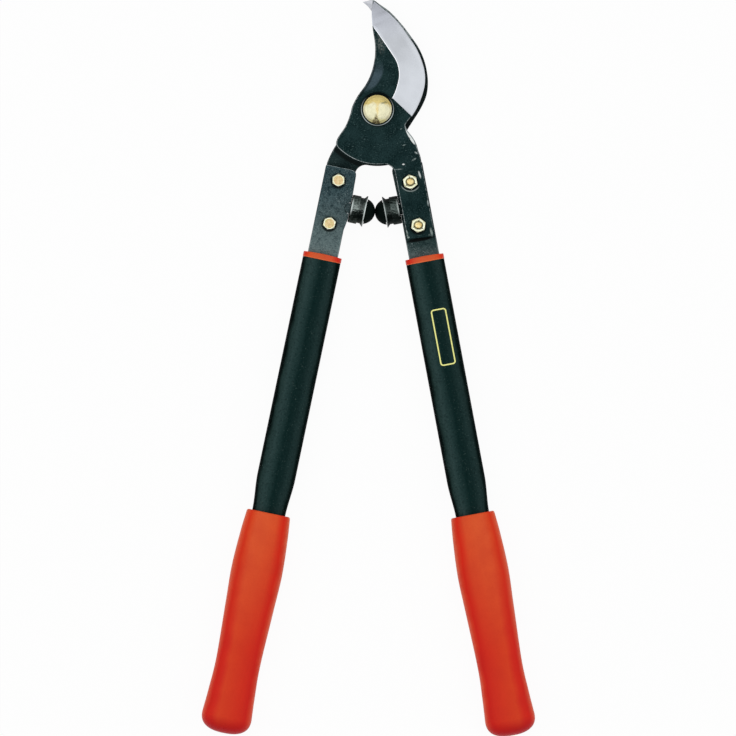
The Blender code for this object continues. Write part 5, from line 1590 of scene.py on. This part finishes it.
# %% Ovals
TUBE = (0.0313, 0.0190)
NECKED = (0.0275, 0.0170)
TUBE_WALL = 0.0012
TUBE_SHORT = 0.0105
SQUARE = 2.5
OVAL_COLUMNS = 96
COLLAR_START = 0.1255
COLLAR_BAND = 0.0040
COLLAR_BOW = 0.0006
COLLAR_CROWN = 0.0004
COLLAR_SPREAD = 0.0002
SPIGOT_LENGTH = 0.0340
SLOT_LENGTH = 0.1500
GRIP_START = 0.3400
GRIP_LENGTH = 0.1834
GRIP_SLIP = 0.0007
NECK_RUN = 0.0300
MOUTH_ROUND = 0.0003
HAIR = 0.0001


def across(squareness=SQUARE, wave=np.cos):
    """Where each column of an oval lies between its inner side, -1, and its outer side, 1."""
    a = wave(full_turn(OVAL_COLUMNS))
    return np.sign(a) * np.abs(a) ** (2 / squareness)


def oval(side, along, size, squareness=SQUARE, lean=0.0, bow=0.0):
    """A closed oval square to the handle's line, its middle drawn up by the bow."""
    x, z = size[0] / 2 * across(squareness), size[1] / 2 * across(squareness, np.sin)
    raised = bow * (1 - (2 * x / max(size[0], 1e-6)) ** 2)
    return in_handle(side, x + lean, along - raised, MID + z)


def grown(size, by):
    """An oval's two widths with its edge moved outward."""
    return tuple(max(width + 2 * by, 1e-6) for width in size)


def tube(side):
    """Outer wall down, rolled foot, inner wall up, and a small round at the mouth."""
    start = COLLAR_START + COLLAR_BAND + SEAM
    end = GRIP_START + GRIP_LENGTH - TUBE_SHORT - GRIP_SLIP - GAP
    inner, necked_inner = grown(TUBE, -TUBE_WALL), grown(NECKED, -TUBE_WALL)
    line = [(start + MOUTH_ROUND, inner), (start, grown(inner, MOUTH_ROUND)), (start, grown(TUBE, -HAIR)),
            (start + HAIR, TUBE)]
    line += [(t, TUBE) for t in np.linspace(start + 0.004, GRIP_START - NECK_RUN - 0.0004, 60)]
    for u in np.linspace(0, 1, 24):
        ease = u * u * (3 - 2 * u)
        size = tuple(a + (b - a) * ease for a, b in zip(TUBE, NECKED))
        line.append((GRIP_START - NECK_RUN * (1 - u), size))
    line += [(end, NECKED), (end, necked_inner), (GRIP_START, necked_inner), (GRIP_START - NECK_RUN, inner),
             (start + MOUTH_ROUND, inner)]
    rings = [oval(side, t, size) for t, size in line]
    return skin(f"{NAMES[side]}_tube_painted", rings, None, {"sideways": side * across()})


def collar(side):
    """A crowned band on the tube's mouth, with a spigot inside and a slot for the strap."""
    end = COLLAR_START + COLLAR_BAND
    spigot = grown(TUBE, -TUBE_WALL - GAP)
    band = grown(TUBE, COLLAR_SPREAD)
    shoulder = grown(band, -2 * HAIR)
    line = [(COLLAR_START - COLLAR_CROWN * math.cos(a), [width * math.sin(a) for width in band], 1)
            for a in np.linspace(0.25, 1.35, 8)]
    line += [(COLLAR_START - HAIR, shoulder, 1), (COLLAR_START + MOUTH_ROUND, band, 1),
             (COLLAR_START + COLLAR_BAND / 2, band, 0.5), (end - 2 * HAIR, band, 0), (end, shoulder, 0),
             (end, spigot, 0), (end + SPIGOT_LENGTH, spigot, 0)]
    rings = [oval(side, t, size, bow=bow * COLLAR_BOW) for t, size, bow in line]
    caps = [np.broadcast_to(ring.mean(0), ring.shape) for ring in (rings[0], rings[-1])]
    along = np.array([0.0] * (len(rings) - 3) + [1.0, 1.0, 1.0, 0.0, 0.0])[:, None]
    mesh = skin(f"{NAMES[side]}_collar_band", caps[:1] + rings + caps[1:], None,
                {"across": across(), "along": along})
    size = (2 * (STRAP_HALF + GAP), SLOT_LENGTH, STRAP_DEPTH + 2 * GAP, 1)
    place = Matrix.Translation((0, -COLLAR_START, LEVELS[side])) @ Matrix.Diagonal(size)
    return cut(mesh, (bmesh.ops.create_cube, {"size": 1.0, "matrix": handle_frame(side) @ place}))


# %% Grips
GRIP_SHAPE = ((0.0000, 0.0358, 0.0272), (0.0190, 0.0393, 0.0296), (0.0480, 0.0420, 0.0320),
              (0.0780, 0.0399, 0.0307), (0.1240, 0.0366, 0.0282), (0.1500, 0.0385, 0.0298),
              (0.1690, 0.0410, 0.0320))
GRIP_SQUARE = 2.3
GRIP_BORE = 0.1720
GRIP_LEAN = 0.0006
GRIP_WAIST = 0.1240
MOUTH_RADIUS = 0.0014
MOUTH_CHAMFER = 0.0006


def grip(side):
    """Bore, rolled mouth, the long skin with its swell and waist, and the rounded butt."""
    bore, r = grown(NECKED, GAP), MOUTH_RADIUS
    # Each ring: its place, size, squareness and lean, and how far down the grip its tone is read.
    line = [(t, size, SQUARE, 0.0, t) for t, size in
            ((GRIP_BORE, grown(NECKED, -0.02)), (GRIP_BORE, bore), (MOUTH_CHAMFER, bore),
             (0.0, grown(bore, MOUTH_CHAMFER)))]
    line += [(r * (1 - math.cos(a)), grown(GRIP_SHAPE[0][1:], -r * (1 - math.sin(a))), GRIP_SQUARE, 0.0, 0.0)
             for a in np.linspace(0, math.pi / 2, 8)[:-1]]
    line += [(t, size, GRIP_SQUARE, GRIP_LEAN * min(1.0, t / GRIP_WAIST), t)
             for t, *size in smooth_through(GRIP_SHAPE, 24) if t > r]
    butt, *size = GRIP_SHAPE[-1]
    for u in np.sin(np.linspace(0, math.pi / 2, 24))[1:]:
        t, share = butt + (GRIP_LENGTH - butt) * u, (1 - u ** 2.5) ** 0.4
        line.append((t, [width * share for width in size], GRIP_SQUARE, GRIP_LEAN, t))
    start = GRIP_START - side * GRIP_SLIP
    rings = [oval(side, start + t, size, square, -lean) for t, size, square, lean, _ in line]
    along = np.array([down for *_, down in line])[:, None] / GRIP_LENGTH
    return skin(f"{NAMES[side]}_grip_rubber", rings, None, {"across": across(GRIP_SQUARE), "along": along})


for side in (LEFT, RIGHT):
    name = NAMES[side]
    dress(f"{name}_collar", collar(side), (COLLAR,))
    dress(f"{name}_tube", tube(side), (PAINTS[side],))
    dress(f"{name}_grip", grip(side), (GRIP,))

# %% Finish
low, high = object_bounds()
